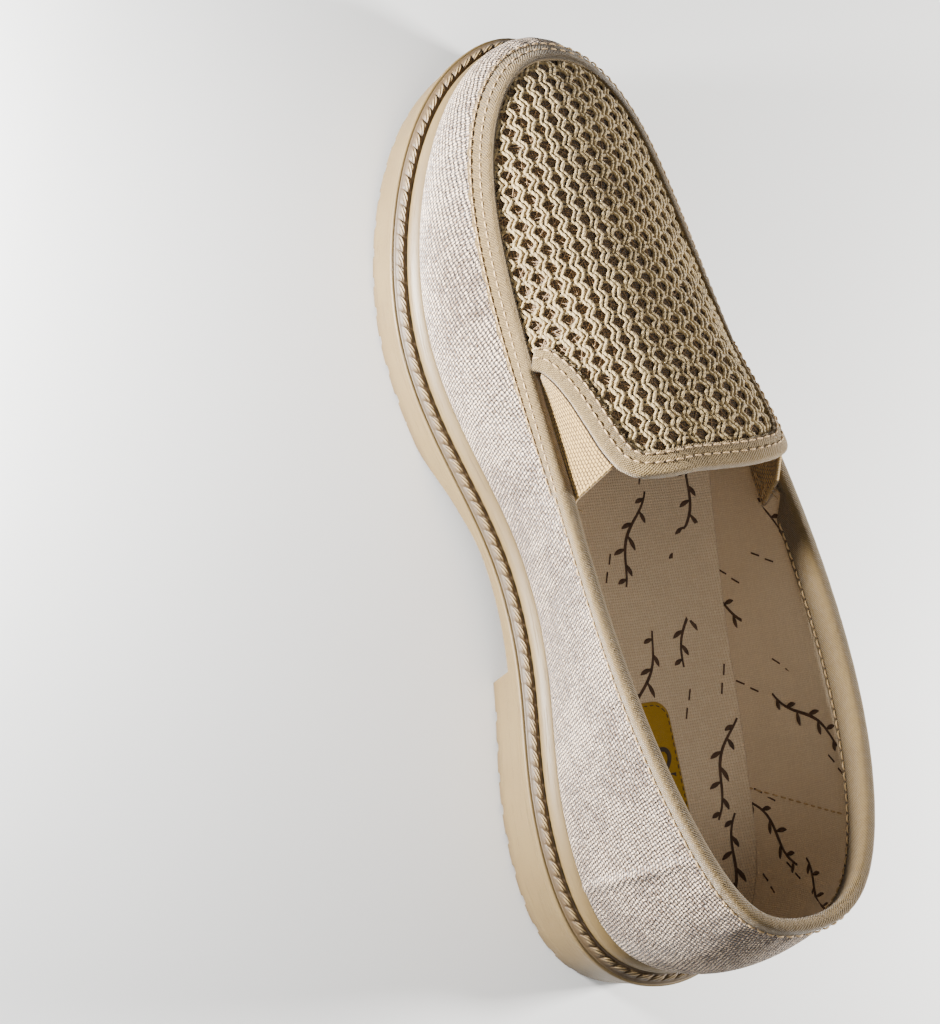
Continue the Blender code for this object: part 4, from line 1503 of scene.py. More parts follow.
@dataclass
class Vamp:
    """Crocheted plug: double zigzag cords along the shoe, doubled rungs between them that close the
    six-sided holes, thin threads across the holes, and dark backing under it all."""
    form: Form
    hole_pitch: float = 5.35
    cord_radius: float = 0.55
    cord_apart: float = 0.73
    cord_steps: int = 210
    columns_each_way: int = 14
    sharp: float = 0.93
    stray: float = 0.16
    beat: float = 0.16
    rung_apart: float = 0.66
    rung_reach: float = 0.62
    rung_radius: float = 0.50
    rung_drop: float = 0.25
    thread_turns: tuple[float, float] = (-0.7, 0.6)
    thread_reach: float = 2.0
    thread_radius: float = 0.15
    thread_drop: float = 0.6
    level: float = -0.50
    backing_level: float = -1.6
    backing_thickness: float = 0.1 * MM
    seed: int = 7
    map: VampMap = field(init=False)

    def __post_init__(self) -> None:
        """Lays the vamp flat."""
        self.map = VampMap(self.form)

    @property
    def side(self) -> float:
        """Side of a six-sided hole, in millimetres."""
        return self.hole_pitch / math.sqrt(3)

    def columns(self) -> list[tuple[int, float, float]]:
        """Columns of holes: number, arc length across, and shift along by half a hole or none.

        Returns:
            One row a column.
        """
        numbers = range(-self.columns_each_way, self.columns_each_way + 1)
        apart = 1.5 * self.side
        return [(k, k * apart, 0.5 * (k % 2)) for k in numbers]

    def throat_station(self, across: Array) -> Array:
        """Station of the plug's rear edge: the edge laid on the flat map.

        Args:
            across: arc lengths from the ridge, in millimetres.

        Returns:
            The stations there.
        """
        rise = np.linspace(0.02, 1, 60)
        stations, sides = [], []
        for medial in (True, False):
            edge = self.form.vamp(on_side(self.form.plug_edge_turn(rise, medial), medial), rise)
            station = self.map.base - edge[:, 1]
            side = self.map.edges(station)[0 if medial else 1]
            stations.append(station)
            sides.append(side * (1 - self.reach(edge, station, side)))
        c, s = (np.concatenate([pair[0], pair[1][::-1]]) for pair in (sides, stations))
        return np.interp(across, c, s)

    def reach(self, edge: Array, station: Array, side: Array) -> Array:
        """Share of the way from the seam to the ridge at which points of the edge lie.

        Args:
            edge: the points.
            station: their stations.
            side: arc length of the seam at each station.

        Returns:
            The shares.
        """
        share = np.linspace(0, 1, 60)
        rows = self.map.points(station[:, None] + 0 * share, side[:, None] * (1 - share))
        near = np.abs(rows[..., 0] - edge[:, None, 0])
        return share[np.argmin(near, axis=1)]

    def zigzag(self, station: Array, middle: float, phase: float) -> Array:
        """Arc length of a zigzag cord: a rounded triangle wave along the shoe."""
        wave = np.sin(2 * math.pi * (station / MM / self.hole_pitch + phase))
        return middle + self.side / 4 * 1.1 * np.arcsin(self.sharp * wave) / math.asin(self.sharp)

    def build(self) -> list[bpy.types.Object]:
        """Cords, rungs and threads over the flat map, and the backing under them.

        Returns:
            The four pieces.
        """
        random = np.random.default_rng(self.seed)
        cords = self.lay_cords(random)
        centres = self.centres()
        rungs, threads = self.lay_rungs(centres), self.lay_threads(centres, random)
        pieces = [cords.build("crochet_zigzags", Cloth.CORD.material(), closed=True, sharp=80),
                  rungs.build("crochet_rungs", Cloth.CORD.material(), closed=True, sharp=80),
                  threads.build("crochet_threads", Cloth.THIN_CORD.material(), closed=True, sharp=80),
                  self.build_backing()]
        return pieces

    def lay_cords(self, random: np.random.Generator) -> Skin:
        """Two zigzag cords a column, each with its own small strays from the line and in thickness.

        Args:
            random: its chances.

        Returns:
            The cords.
        """
        cords = Skin()
        station = np.linspace(self.map.stations[0], self.map.stations[-1], 1400)
        low, high = self.map.edges(station)
        for _, middle, phase in self.columns():
            for hand in (-1, 1):
                across = self.zigzag(station, middle + 0.75 * self.side, phase)
                across = across + hand * self.cord_apart
                inside = (across > low + 0.05) & (across < high - 0.05)
                inside &= station > self.throat_station(across) + 1.0 * MM
                if inside.sum() < 30:
                    continue
                run = station[inside]
                at = np.linspace(run[0], run[-1], self.cord_steps)
                stray, swell = (np.interp(at, station[::step], random.normal(0, 1, len(station[::step])))
                                for step in (9, 25))
                c = np.interp(at, station, across) + self.stray * stray
                beat = np.cos(2 * math.pi * (at / MM / self.hole_pitch * 2 + 0.1))
                lift = (self.level + self.beat * beat + 0.05 * hand) * MM
                up = self.map.normals(at, c)
                path = self.map.points(at, c) + up * lift[:, None]
                thick = self.cord_radius * MM * (1 + 0.10 * swell)
                cords.tubes(path[None], up[None], thick[None], sides=6)
        return cords

    def centres(self) -> Array:
        """Hole centres that lie inside the plug: station in metres, across in millimetres.

        Returns:
            The centres, shape (holes, 2).
        """
        found = []
        for _, middle, phase in self.columns():
            station = (np.arange(15, 60) + 0.25 + phase) * self.hole_pitch * MM
            across = np.full_like(station, middle)
            low, high = self.map.edges(station)
            inside = (across > low - 0.6) & (across < high + 0.6) & (station < self.map.stations[-1])
            inside &= station > self.throat_station(across) + 1.5 * MM
            found.append(np.stack([station, across], axis=-1)[inside])
        return np.concatenate(found)

    def lay_rungs(self, centres: Array) -> Skin:
        """Two short cords across the shoe between one hole and the next, a little bowed apart.

        Args:
            centres: of the holes.

        Returns:
            The rungs.
        """
        rungs = Skin()
        share = np.linspace(-1, 1, 8)
        for hand in (-1, 1):
            along = self.hole_pitch / 2 + hand * self.rung_apart + hand * 0.12 * share ** 2
            s = centres[:, :1] + along * MM
            c = centres[:, 1:] + share * self.side * self.rung_reach
            up = self.map.normals(s, c)
            lift = (self.level - self.rung_drop - 0.35 * share ** 2) * MM
            rungs.tubes(self.map.points(s, c) + up * lift[:, None], up, self.rung_radius * MM, sides=6)
        return rungs

    def lay_threads(self, centres: Array, random: np.random.Generator) -> Skin:
        """Two thin threads across each hole, each turned and shifted by chance.

        Args:
            centres: of the holes.
            random: its chances.

        Returns:
            The threads.
        """
        threads = Skin()
        share = np.linspace(-1, 1, 5)
        for turned in self.thread_turns:
            spin = turned + random.normal(0, 0.5, (len(centres), 1))
            off = random.normal(0, 0.7, (len(centres), 1))
            s = centres[:, :1] + (np.cos(spin) * share * self.thread_reach - np.sin(spin) * off) * MM
            c = centres[:, 1:] + np.sin(spin) * share * self.thread_reach + np.cos(spin) * off
            up = self.map.normals(s, c)
            lift = (self.level - self.thread_drop + 0.15 * share ** 2) * MM
            path = self.map.points(s, c) + up * lift[:, None]
            threads.tubes(path, up, self.thread_radius * MM, sides=4)
        return threads

    def build_backing(self) -> bpy.types.Object:
        """Sheet under the cords, from seam to seam: a grid of turn and rise on each side.

        Returns:
            The backing.
        """
        form = self.form
        skin = Skin()
        rise = np.linspace(0, 1, 40)[:, None]
        for medial in (True, False):
            turn = form.plug_grid(medial, 120, rise)
            points = form.shifted(form.vamp, turn, rise, self.backing_level * MM + 0 * turn)
            skin.grid(points, points[..., :2] / MM, facing=form.normal(form.vamp, turn, rise))
        sheet = skin.build("vamp_backing", Cloth.BACKING.material())
        thicken(sheet, self.backing_thickness)
        return sheet


@dataclass
class Tapes:
    """Binding round the rim and tape along the throat, with their stitch rows."""
    form: Form
    gap: float = 0.05 * MM
    thickness: float = 1.0 * MM
    outer_rear: float = 3.7 * MM
    outer_front: float = 5.2 * MM
    inner: float = 9 * MM
    lip: float = 1.5 * MM
    throat_width: float = 6.2 * MM
    throat_hem: float = 4 * MM
    end_round: float = 0.09
    stray: float = 0.15 * MM
    front_rows: tuple[float, float] = (4.3 * MM, 1.9 * MM)
    collar_row: float = 2.8 * MM
    inner_row: float = 7.6 * MM
    throat_rows: tuple[float, float] = (0.84, 0.42)
    columns: int = 760
    seam: Seam = field(default_factory=Seam)

    def waver(self, turn: Array) -> Array:
        """How far a hem strays from its line: two sines of the turn."""
        return self.stray * (np.sin(turn * 23) + np.sin(turn * 37 + 1))

    def binding_sheet(self, turn: Array, out: float, edge: float) -> Array:
        """One side of the binding: four corners by turn, joined by rounded bends.

        Args:
            turn: where round the shoe.
            out: distance off the upper.
            edge: distance off it at the two hems.

        Returns:
            Points, shape (steps across, turns, 3).
        """
        form = self.form
        half = half_turn(turn)
        rows = [r.at for r in BINDING_ROWS]
        folded = np.interp(half, rows, [r.first for r in BINDING_ROWS]) * self.inner
        over = eased(np.interp(half, rows, [r.second for r in BINDING_ROWS]))[:, None]
        wide = self.outer_rear + (self.outer_front - self.outer_rear) * eased((half - 4.5) / 1.5)
        wide = wide + self.waver(turn)
        tall = form.band_height(turn)
        side = form.normal(form.band, turn, 1.0 + 0 * turn)
        upward = form.upward(turn)
        near = np.where(half > 5, turn, 6.0)
        lip = self.lip / np.linalg.norm(form.ridge(half_turn(near)) - form.rim(near), axis=-1)
        inside = form.wall + out
        low = form.shifted(form.band, turn, 1 - wide / tall, edge + 0 * turn)
        middle = form.shifted(form.band, turn, 1 - 0.5 * wide / tall, out + 0 * turn)
        deep = np.maximum(1 - folded / tall, 0.1)
        folds = (
            (form.rim(turn) + side * out + upward * out * 0.8,
             form.rim(turn) + unit(side + form.normal(form.vamp, near, 0 * near)) * out * 1.2),
            (form.rim(turn) - side * inside + upward * out * 0.8,
             form.shifted(form.vamp, near, 0.55 * lip, out + 0 * turn)),
            (form.shifted(form.band, turn, 0.5 + 0.5 * deep, -inside + 0 * turn),
             form.shifted(form.vamp, near, 0.85 * lip, out * 0.9 + 0 * turn)),
            (form.shifted(form.band, turn, deep, -form.wall - edge + 0 * turn),
             form.shifted(form.vamp, near, lip, edge + 0 * turn)),
        )
        corners = np.stack([low, middle, *(a + (b - a) * over for a, b in folds)])
        return rounded(corners, 2)

    def build_binding(self, thread: Skin, holes: Skin) -> bpy.types.Object:
        """Closed ring of tape, its section wrapped round the rim, and its stitch rows.

        Args:
            thread: gets the thread.
            holes: gets the painted shade of the needle holes.

        Returns:
            The binding.
        """
        form = self.form
        around = np.linspace(0, ROUND, self.columns + 1)
        turn = around[:-1]
        outer = self.binding_sheet(turn, self.gap + self.thickness, self.gap + 0.6 * self.thickness)
        inner = self.binding_sheet(turn, self.gap, self.gap)
        section = np.concatenate([outer, inner[::-1]])
        length = arc(form.rim(around))
        across = arc(section[:, 0])
        across = np.append(across, across[-1] + 1.0)
        uv = np.stack(np.meshgrid(length, across), axis=-1)
        skin = Skin()
        skin.grid(section, uv, wrap_rows=True, wrap_columns=True)
        tape = skin.build("edge_tape", Cloth.TAPE.material(), closed=True, sharp=70)
        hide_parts("edge_binding")
        self.sew_binding(thread, holes)
        return tape

    def sew_binding(self, thread: Skin, holes: Skin) -> None:
        """Two rows on the front tape, one on the collar outside and one inside it.

        Args:
            thread: gets the thread.
            holes: gets the painted shade of the needle holes.
        """
        form = self.form
        out = self.gap + self.thickness - 0.02 * MM
        front = np.linspace(5.2, ROUND - 5.2, 900)
        rows = [(front, down, out) for down in self.front_rows]
        rows.append((np.linspace(-5.2, 5.2, 900), self.collar_row, out))
        rows.append((np.linspace(-4.8, 4.8, 750), self.inner_row, -form.wall - out))
        for turn, down, off in rows:
            rise = 1 - down / form.band_height(turn)
            line = form.shifted(form.band, turn, rise, off + 0 * turn)
            normals = math.copysign(1, off) * form.normal(form.band, turn, rise)
            self.seam.sew(thread, holes, line, normals)

    def throat_side(self, rise: Array, medial: bool, out: float, edge: float) -> Array:
        """One half of one side of the throat tape, folded over the plug's edge.

        Args:
            rise: rises along the edge.
            medial: which half.
            out: distance off the upper.
            edge: distance off it at the two hems.

        Returns:
            Points, shape (steps across, rises, 3).
        """
        form = self.form
        turn, rim, normal, into = form.plug_edge(rise, medial)
        round_end = np.sqrt(1 - np.clip((self.end_round - rise) / (self.end_round - rise[0]), 0, 1) ** 2)
        width = self.throat_width * (0.15 + 0.85 * round_end) + self.waver(30 * rise) * round_end
        rows = []
        for share, off in ((1.0, edge), (0.75, out), (0.4, out), (0.12, out)):
            there = form.beside(turn, rise, into, share * width)
            rows.append(form.shifted(form.vamp, *there, off + 0 * turn))
        rows.append(rim + (normal - into) * out)
        rows.append(rim - normal * (form.wall + out) - into * out)
        hem = form.beside(turn, rise, into, self.throat_hem)
        rows.append(form.shifted(form.vamp, *hem, -form.wall - edge + 0 * turn))
        return np.stack(rows)

    def build_throat(self, thread: Skin, holes: Skin) -> bpy.types.Object:
        """Tape along the plug's rear edge: one strip from corner to corner, folded over the edge.

        Args:
            thread: gets the thread.
            holes: gets the painted shade of the needle holes.

        Returns:
            The tape.
        """
        rise = np.concatenate([np.linspace(0.032, 0.50, 120), np.linspace(0.505, 0.995, 60)])

        def sheet(out: float, edge: float) -> Array:
            """One side of the strip, from corner to corner."""
            both = [self.throat_side(rise, medial, out, edge) for medial in (True, False)]
            return rounded(np.concatenate([both[0], both[1][:, ::-1]], axis=1), 2)

        outer = sheet(self.gap + self.thickness, self.gap + 0.6 * self.thickness)
        inner = sheet(self.gap, self.gap)
        section = np.concatenate([outer, inner[::-1]])
        middle = section.shape[1] // 2
        length = arc(section[10])
        across = np.append(arc(section[:, middle]), 0.0)
        across[-1] = across[-2] + 1.0
        uv = np.stack(np.meshgrid(length, across), axis=-1)
        skin = Skin()
        index = skin.grid(section, uv, wrap_rows=True)
        pairs = np.arange(len(outer) - 1)
        last = len(section) - 1
        for column in (0, -1):
            faces = np.stack([index[pairs, column], index[pairs + 1, column],
                              index[last - pairs - 1, column], index[last - pairs, column]], axis=-1)
            skin.polygons(faces, np.zeros((*faces.shape, 2)))
        tape = skin.build("throat_band", Cloth.LIGHT_TAPE.material(), closed=True, sharp=70)
        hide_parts("throat_tape")
        self.sew_throat(thread, holes, rise)
        return tape

    def sew_throat(self, thread: Skin, holes: Skin, rise: Array) -> None:
        """Two rows along the tape, each from corner to corner.

        Args:
            thread: gets the thread.
            holes: gets the painted shade of the needle holes.
            rise: rises along the edge.
        """
        form = self.form
        out = self.gap + self.thickness - 0.02 * MM
        for share in self.throat_rows:
            halves = []
            for medial in (True, False):
                turn, _, _, into = form.plug_edge(rise, medial)
                there = form.beside(turn, rise, into, share * self.throat_width)
                line = form.shifted(form.vamp, *there, out + 0 * turn)
                halves.append(np.stack([line, form.normal(form.vamp, *there)]))
            self.seam.sew(thread, holes, *np.concatenate([halves[0], halves[1][:, ::-1]], axis=1))


class Tack(NamedTuple):
    """Loose thread on a gore's flap, in mm: its slant in radians, half length, place along, depth."""
    slant: float
    reach: float
    along: float
    depth: float


TACKS = (Tack(0.95, 6.0, 0.0, 5.0), Tack(-0.75, 6.5, 1.0, 5.5), Tack(0.8, 5.0, -1.6, 5.8),
         Tack(-1.1, 4.5, 0.2, 4.6), Tack(0.2, 4.0, 0.5, 8.5))


@dataclass
class Gore:
    """Elastic web between the plug's corner and the band, with a flap lapped inside the band."""
    form: Form
    medial: bool
    past_edge: float = 1.4 * MM
    thickness: float = 1.1 * MM
    rear: float = 5.13
    front: float = 6.06
    flap_depth: float = 12.5
    flap_slant: float = 0.17
    steps: int = 60
    mm_a_turn: float = 36
    tack_radius: float = 0.16 * MM

    def inside_band(self, turn: Array, depth: Array, out: Array) -> Array:
        """Point inside the band, its depth below the rim and its distance off the wall in mm.

        Args:
            turn: where round the shoe.
            depth: below the rim, in mm.
            out: off the wall, in mm.

        Returns:
            The points.
        """
        form = self.form
        rise = 1 - depth * MM / form.band_height(turn)
        return form.shifted(form.band, turn, rise, -form.wall - out * MM)

    def build(self, thread: Skin) -> bpy.types.Object:
        """Straight rows from inside the rim to under the tape, and rows down the flap.

        Args:
            thread: gets the tacking.

        Returns:
            The web.
        """
        form = self.form
        tip, top = (0.10, 0.44) if self.medial else (0.07, 0.34)
        rise = np.linspace(tip, top, self.steps)
        turn, _, _, into = form.plug_edge(rise, self.medial)
        turn, rise = form.beside(turn, rise, into, -self.past_edge)
        high = form.shifted(form.vamp, turn, rise, -0.6 * MM + 0 * turn)
        low_turn = np.linspace(self.front, self.rear, self.steps)
        flap = []
        for depth, out in ((1.0, 0.30), (0.7, 0.45), (0.45, 1.10), (0.18, 1.24), (0.02, 1.28)):
            slant = self.flap_slant * depth * np.linspace(0, 1, self.steps)
            row = on_side(low_turn - slant, self.medial)
            flap.append(self.inside_band(row, depth * self.flap_depth + 0 * row, out + 0 * row))
        up = np.linspace(0, 1, 24)[1:, None, None]
        sheet = np.concatenate([np.stack(flap), flap[-1] + (high - flap[-1]) * up])
        from_edge = arc(sheet[12][::-1])[::-1]
        uv = np.stack(np.broadcast_arrays(from_edge[None, :], arc(sheet[:, -1])[:, None]), axis=-1)
        side = form.normal(form.band, on_side(low_turn, self.medial), 1.0 + 0 * low_turn)
        skin = Skin()
        skin.grid(sheet, uv, facing=np.broadcast_to(side, sheet.shape))
        name = "gore_medial" if self.medial else "gore_lateral"
        web = skin.build(name + "_web", Cloth.ELASTIC.material())
        thicken(web, self.thickness)
        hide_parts(name)
        self.tack(thread)
        return web

    def tack(self, thread: Skin) -> None:
        """Crossed threads that tack the flap's corner, their ends left long.

        Args:
            thread: gets the tacking.
        """
        share = np.linspace(-1, 1, 9)
        for slant, reach, along, depth in TACKS:
            turn = self.rear + (math.cos(slant) * share * reach + along) / self.mm_a_turn
            turn = on_side(turn, self.medial)
            deep = depth + math.sin(slant) * share * reach
            path = self.inside_band(turn, deep, 2.0 + 0.5 * share ** 2)
            up = -self.form.normal(self.form.band, turn, 0.9 + 0 * turn)
            thread.tubes(path[None], up[None], self.tack_radius, sides=5)


class Print(NamedTuple):
    """Motif on the insole: shares of length and half width, angle in degrees, sprig or dashes."""
    station: float
    side: float
    angle: float
    is_sprig: bool


INSOLE_PRINTS = (
    Print(0.10, 0.12, 60, True), Print(0.10, -0.42, 70, True), Print(0.20, -0.50, 65, True),
    Print(0.30, -0.10, 62, True), Print(0.36, -0.48, 72, True), Print(0.38, 0.25, 58, True),
    Print(0.45, -0.22, 64, True), Print(0.47, -0.62, 70, True), Print(0.49, 0.30, 60, True),
    Print(0.56, -0.05, 66, True), Print(0.60, -0.50, 62, True), Print(0.16, 0.40, 64, False),
    Print(0.27, -0.36, 66, False), Print(0.33, 0.22, 64, False), Print(0.42, -0.02, 66, False),
    Print(0.52, -0.38, 68, False), Print(0.53, 0.10, 62, False), Print(0.06, -0.15, 66, False),
    Print(0.29, -0.62, 70, False))
# turns of the lining's motifs: a lower row of sprigs, an upper row of dashes
SPRIG_TURNS = (-5.0, -4.1, -3.2, -2.3, -1.45, -0.6, 0.35, 1.2, 2.0, 2.9, 3.8, 4.7)
DASH_TURNS = (-4.55, -3.65, -2.75, -1.85, -1.0, -0.1, 0.8, 1.6, 2.45, 3.4, 4.3)


@dataclass
class Inside:
    """Canvas lining, insole, printed sprigs and the size label."""
    form: Form
    lining_thickness: float = 0.25 * MM
    insole_thick: float = 3 * MM
    sock_thickness: float = 1.3 * MM
    cup: float = 2 * MM
    edge_height: float = 4.5 * MM
    edge_gap: float = 0.3 * MM
    seam_foot: tuple[float, float] = (2.75, 0.05)
    seam_top: tuple[float, float] = (2.3, 0.80)
    print_lift: float = 0.12 * MM
    print_thickness: float = 0.06 * MM
    lining_sprig: float = 1.15
    insole_sprig: float = 1.2
    label_width: float = 24 * MM
    label_length: float = 37 * MM
    label_corner: float = 5 * MM
    label_station: float = 0.213
    label_side: float = 0.02
    number: str = "42"
    number_size: float = 13 * MM
    number_off: float = 4 * MM
    label_seam: Seam = field(default_factory=lambda: Seam(1.5 * MM, 2.1 * MM, 0.16 * MM, 0.1 * MM,
                                                          0.12 * MM))
    seam: Seam = field(default_factory=lambda: Seam(stitch=2.6 * MM, pitch=3.4 * MM))
    seed: int = 3

    def lining_point(self, turn: Array, rise: Array, out: float = 0.0) -> Array:
        """Inner face of the lining: the band moved in by the wall, with slight slack.

        Args:
            turn: where round the shoe.
            rise: where up the band.
            out: distance off the face.

        Returns:
            The points.
        """
        form = self.form
        slack = 0.25 * MM * np.sin(turn * 5.1 + 2 * np.sin(rise * 5)) * np.sin(math.pi * rise)
        return form.shifted(form.band, turn, rise, -form.wall - out + slack)

    def build_lining(self, thread: Skin) -> bpy.types.Object:
        """Canvas up the inside of the band and under the vamp, its faces to the foot, with a slanted
        stitch row on either side of the heel.

        Args:
            thread: gets the thread.

        Returns:
            The lining.
        """
        form = self.form
        skin = Skin()
        rise = np.linspace(0.02, 1, 30)[:, None]
        turn, uv = form.band_grid(420, rise)
        points = self.lining_point(turn + 0 * rise, rise + 0 * turn)
        skin.grid(points, uv, wrap_columns=True, facing=-form.normal(form.band, turn, rise))
        up = np.linspace(0, 1, 24)[:, None]
        for medial in (True, False):
            turn = form.plug_grid(medial, 60, up)
            under = form.shifted(form.vamp, turn, up, -form.wall + 0 * turn)
            skin.grid(under, under[..., :2] / MM, facing=-form.normal(form.vamp, turn, up))
        lining = skin.build("canvas_lining", Cloth.CANVAS.material())
        thicken(lining, self.lining_thickness)
        turn, high = np.linspace(self.seam_foot, self.seam_top, 300).T
        for hand in (1, -1):
            line = self.lining_point(hand * turn, high, 0.05 * MM)
            self.seam.sew(thread, None, line, -form.normal(form.band, hand * turn, high))
        return lining

    def insole_point(self, turn: Array, across: Array, height: Array) -> Array:
        """Point of the insole.

        Args:
            turn: on the medial side.
            across: share of the way from the edge there to the edge across from it.
            height: above the feather line, in the middle.

        Returns:
            The point.
        """
        near, far = self.insole_edge(turn), self.insole_edge(ROUND - turn)
        point = near + (far - near) * np.asarray(across)[..., None]
        point[..., 2] = self.form.feather(turn) + height + self.cup * np.abs(2 * across - 1) ** 4
        return point

    def insole_edge(self, turn: Array) -> Array:
        """Where the insole meets the lining: the lining's face at the insole's own height."""
        return self.lining_point(turn, self.edge_height / self.form.band_height(turn), self.edge_gap)

    def build_insole(self) -> bpy.types.Object:
        """Canvas-covered sock: a grid across the shoe, its edge cupped by a fourth power.

        Returns:
            The sock.
        """
        turn = np.linspace(0.16, TOE - 0.45, 180)[None, :]
        across = (0.5 - 0.5 * np.cos(np.linspace(0, math.pi, 40)))[:, None]
        turn, across = np.broadcast_arrays(turn, across)
        wave = 0.12 * MM * np.sin(turn * 3.1) * np.sin(across * 9)
        points = self.insole_point(turn, across, self.insole_thick + wave)
        skin = Skin()
        skin.grid(points, points[..., :2] / MM, facing=np.broadcast_to(UP, points.shape))
        sock = skin.build("insole_sock", Cloth.SOCK_CANVAS.material())
        thicken(sock, self.sock_thickness)
        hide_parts("insole")
        return sock

    def sprig(self, random: np.random.Generator, scale: float) -> list[Array]:
        """Outline of a printed sprig as strokes in millimetres: a waving stem with small leaves.

        Args:
            random: its chances.
            scale: its size.

        Returns:
            Strokes, each (steps, 3): along, across and half width.
        """
        reach = 13.0 * scale
        t = np.linspace(-1, 1, 24)
        phase = random.uniform(0, 2 * math.pi)
        stem = np.stack([t * reach, 1.3 * scale * np.sin(t * 3.2 + phase), 0.50 - 0.2 * np.abs(t)], -1)
        strokes = [stem]
        for k, place in enumerate(np.linspace(-0.85, 0.85, 7)):
            x = place * reach
            y = 1.3 * scale * math.sin(place * 3.2 + phase)
            up = 1 if k % 2 else -1
            leaf = np.linspace(0, 1, 7)
            size = (4.0 - 1.5 * abs(place)) * scale
            strokes.append(np.stack([x + leaf * size * 0.75, y + up * leaf * size * (1 - 0.25 * leaf),
                                     0.12 + 0.6 * np.sin(math.pi * leaf)], -1))
        return strokes

    def dashes(self) -> list[Array]:
        """Two short dashes in a row."""
        t = np.linspace(-1, 1, 5)
        return [np.stack([shift + t * 1.7, 0.1 * t, 0.26 + 0 * t], -1) for shift in (-2.9, 2.9)]

    def print_strokes(self, skin: Skin, strokes: list[Array], angle: float,
                      lay: Surface, facing: Surface) -> None:
        """Lays strokes on a surface as flat ribbons.

        Args:
            skin: gets the ribbons.
            strokes: in millimetres round the motif's middle.
            angle: of the motif.
            lay: surface point at two offsets in millimetres.
            facing: its direction off the surface.
        """
        cos, sin = math.cos(angle), math.sin(angle)
        for stroke in strokes:
            run = np.gradient(stroke[:, :2], axis=0)
            aside = unit(np.stack([-run[:, 1], run[:, 0]], -1)) * stroke[:, 2:3]
            edges = np.stack([stroke[:, :2] - aside, stroke[:, :2] + aside])
            a = edges[..., 0] * cos - edges[..., 1] * sin
            b = edges[..., 0] * sin + edges[..., 1] * cos
            skin.grid(lay(a, b), np.stack([a, b], -1), facing=facing(a, b))

    def build_print(self) -> bpy.types.Object:
        """Sprigs and dashes scattered over the lining and the insole.

        Returns:
            The print.
        """
        random = np.random.default_rng(self.seed)
        skin = Skin()
        sites = [(turn, 0.42 + 0.20 * math.sin(turn * 3.3), True) for turn in SPRIG_TURNS]
        for turn in DASH_TURNS:
            sites += [(turn, 0.58 - 0.22 * math.sin(turn * 2.7), False), (turn + 0.1, 0.18, False)]
        for turn, rise, is_sprig in sites:
            strokes = self.sprig(random, self.lining_sprig) if is_sprig else self.dashes()
            angle = math.radians(52 + random.uniform(-14, 14))
            self.print_strokes(skin, strokes, angle, *self.lining_site(turn, rise))
        for site in INSOLE_PRINTS:
            strokes = self.sprig(random, self.insole_sprig) if site.is_sprig else self.dashes()
            self.print_strokes(skin, strokes, math.radians(site.angle),
                               *self.insole_site(*self.form.spot(site.station, site.side)))
        ink = skin.build("lining_print", Cloth.INK.material())
        thicken(ink, self.print_thickness)
        return ink

    def lining_site(self, turn: float, rise: float) -> tuple[Surface, Surface]:
        """Functions of two offsets in mm from a place on the lining: the point, the way it faces.

        Args:
            turn: of the place.
            rise: of the place.

        Returns:
            The two functions.
        """
        around = np.linspace(-6, 6, 500)
        length = arc(self.form.band(around, 0.5 + 0 * around))
        start = np.interp(turn, around, length)

        def lay(a: Array, b: Array) -> Array:
            """Point of the lining."""
            t = np.interp(start + a, length, around)
            return self.lining_point(t, rise + b * MM / self.form.band_height(t), self.print_lift)

        def facing(a: Array, b: Array) -> Array:
            """Direction to the foot."""
            t = np.interp(start + a, length, around)
            return -self.form.normal(self.form.band, t, rise + 0 * b)

        return lay, facing

    def insole_site(self, x0: float, y0: float) -> tuple[Surface, Surface]:
        """Functions of two offsets in mm from a place on the insole: the point, the way it faces.

        Args:
            x0: across the shoe.
            y0: along it.

        Returns:
            The two functions.
        """
        def lay(a: Array, b: Array) -> Array:
            """Point of the insole."""
            x, y = x0 + a * MM, y0 + b * MM
            return np.stack([x, y, self.insole_height(x, y) + self.print_lift], -1)

        def facing(a: Array, b: Array) -> Array:
            """Upwards."""
            return np.broadcast_to(UP, (*a.shape, 3))

        return lay, facing

    def insole_height(self, x: Array, y: Array) -> Array:
        """Height of the insole's top, from its two edges at that station.

        Args:
            x: places across the shoe.
            y: places along it.

        Returns:
            The heights.
        """
        turn = np.linspace(0.1, TOE - 0.4, 300)[::-1]
        near, far = self.insole_edge(turn), self.insole_edge(ROUND - turn)
        xn = np.interp(y, near[:, 1], near[:, 0])
        xf = np.interp(y, far[:, 1], far[:, 0])
        seat = np.interp(y, near[:, 1], self.form.feather(turn))
        across = np.clip((x - xn) / (xf - xn), 0, 1)
        return seat + self.insole_thick + self.cup * np.abs(2 * across - 1) ** 4 + 0.1 * MM

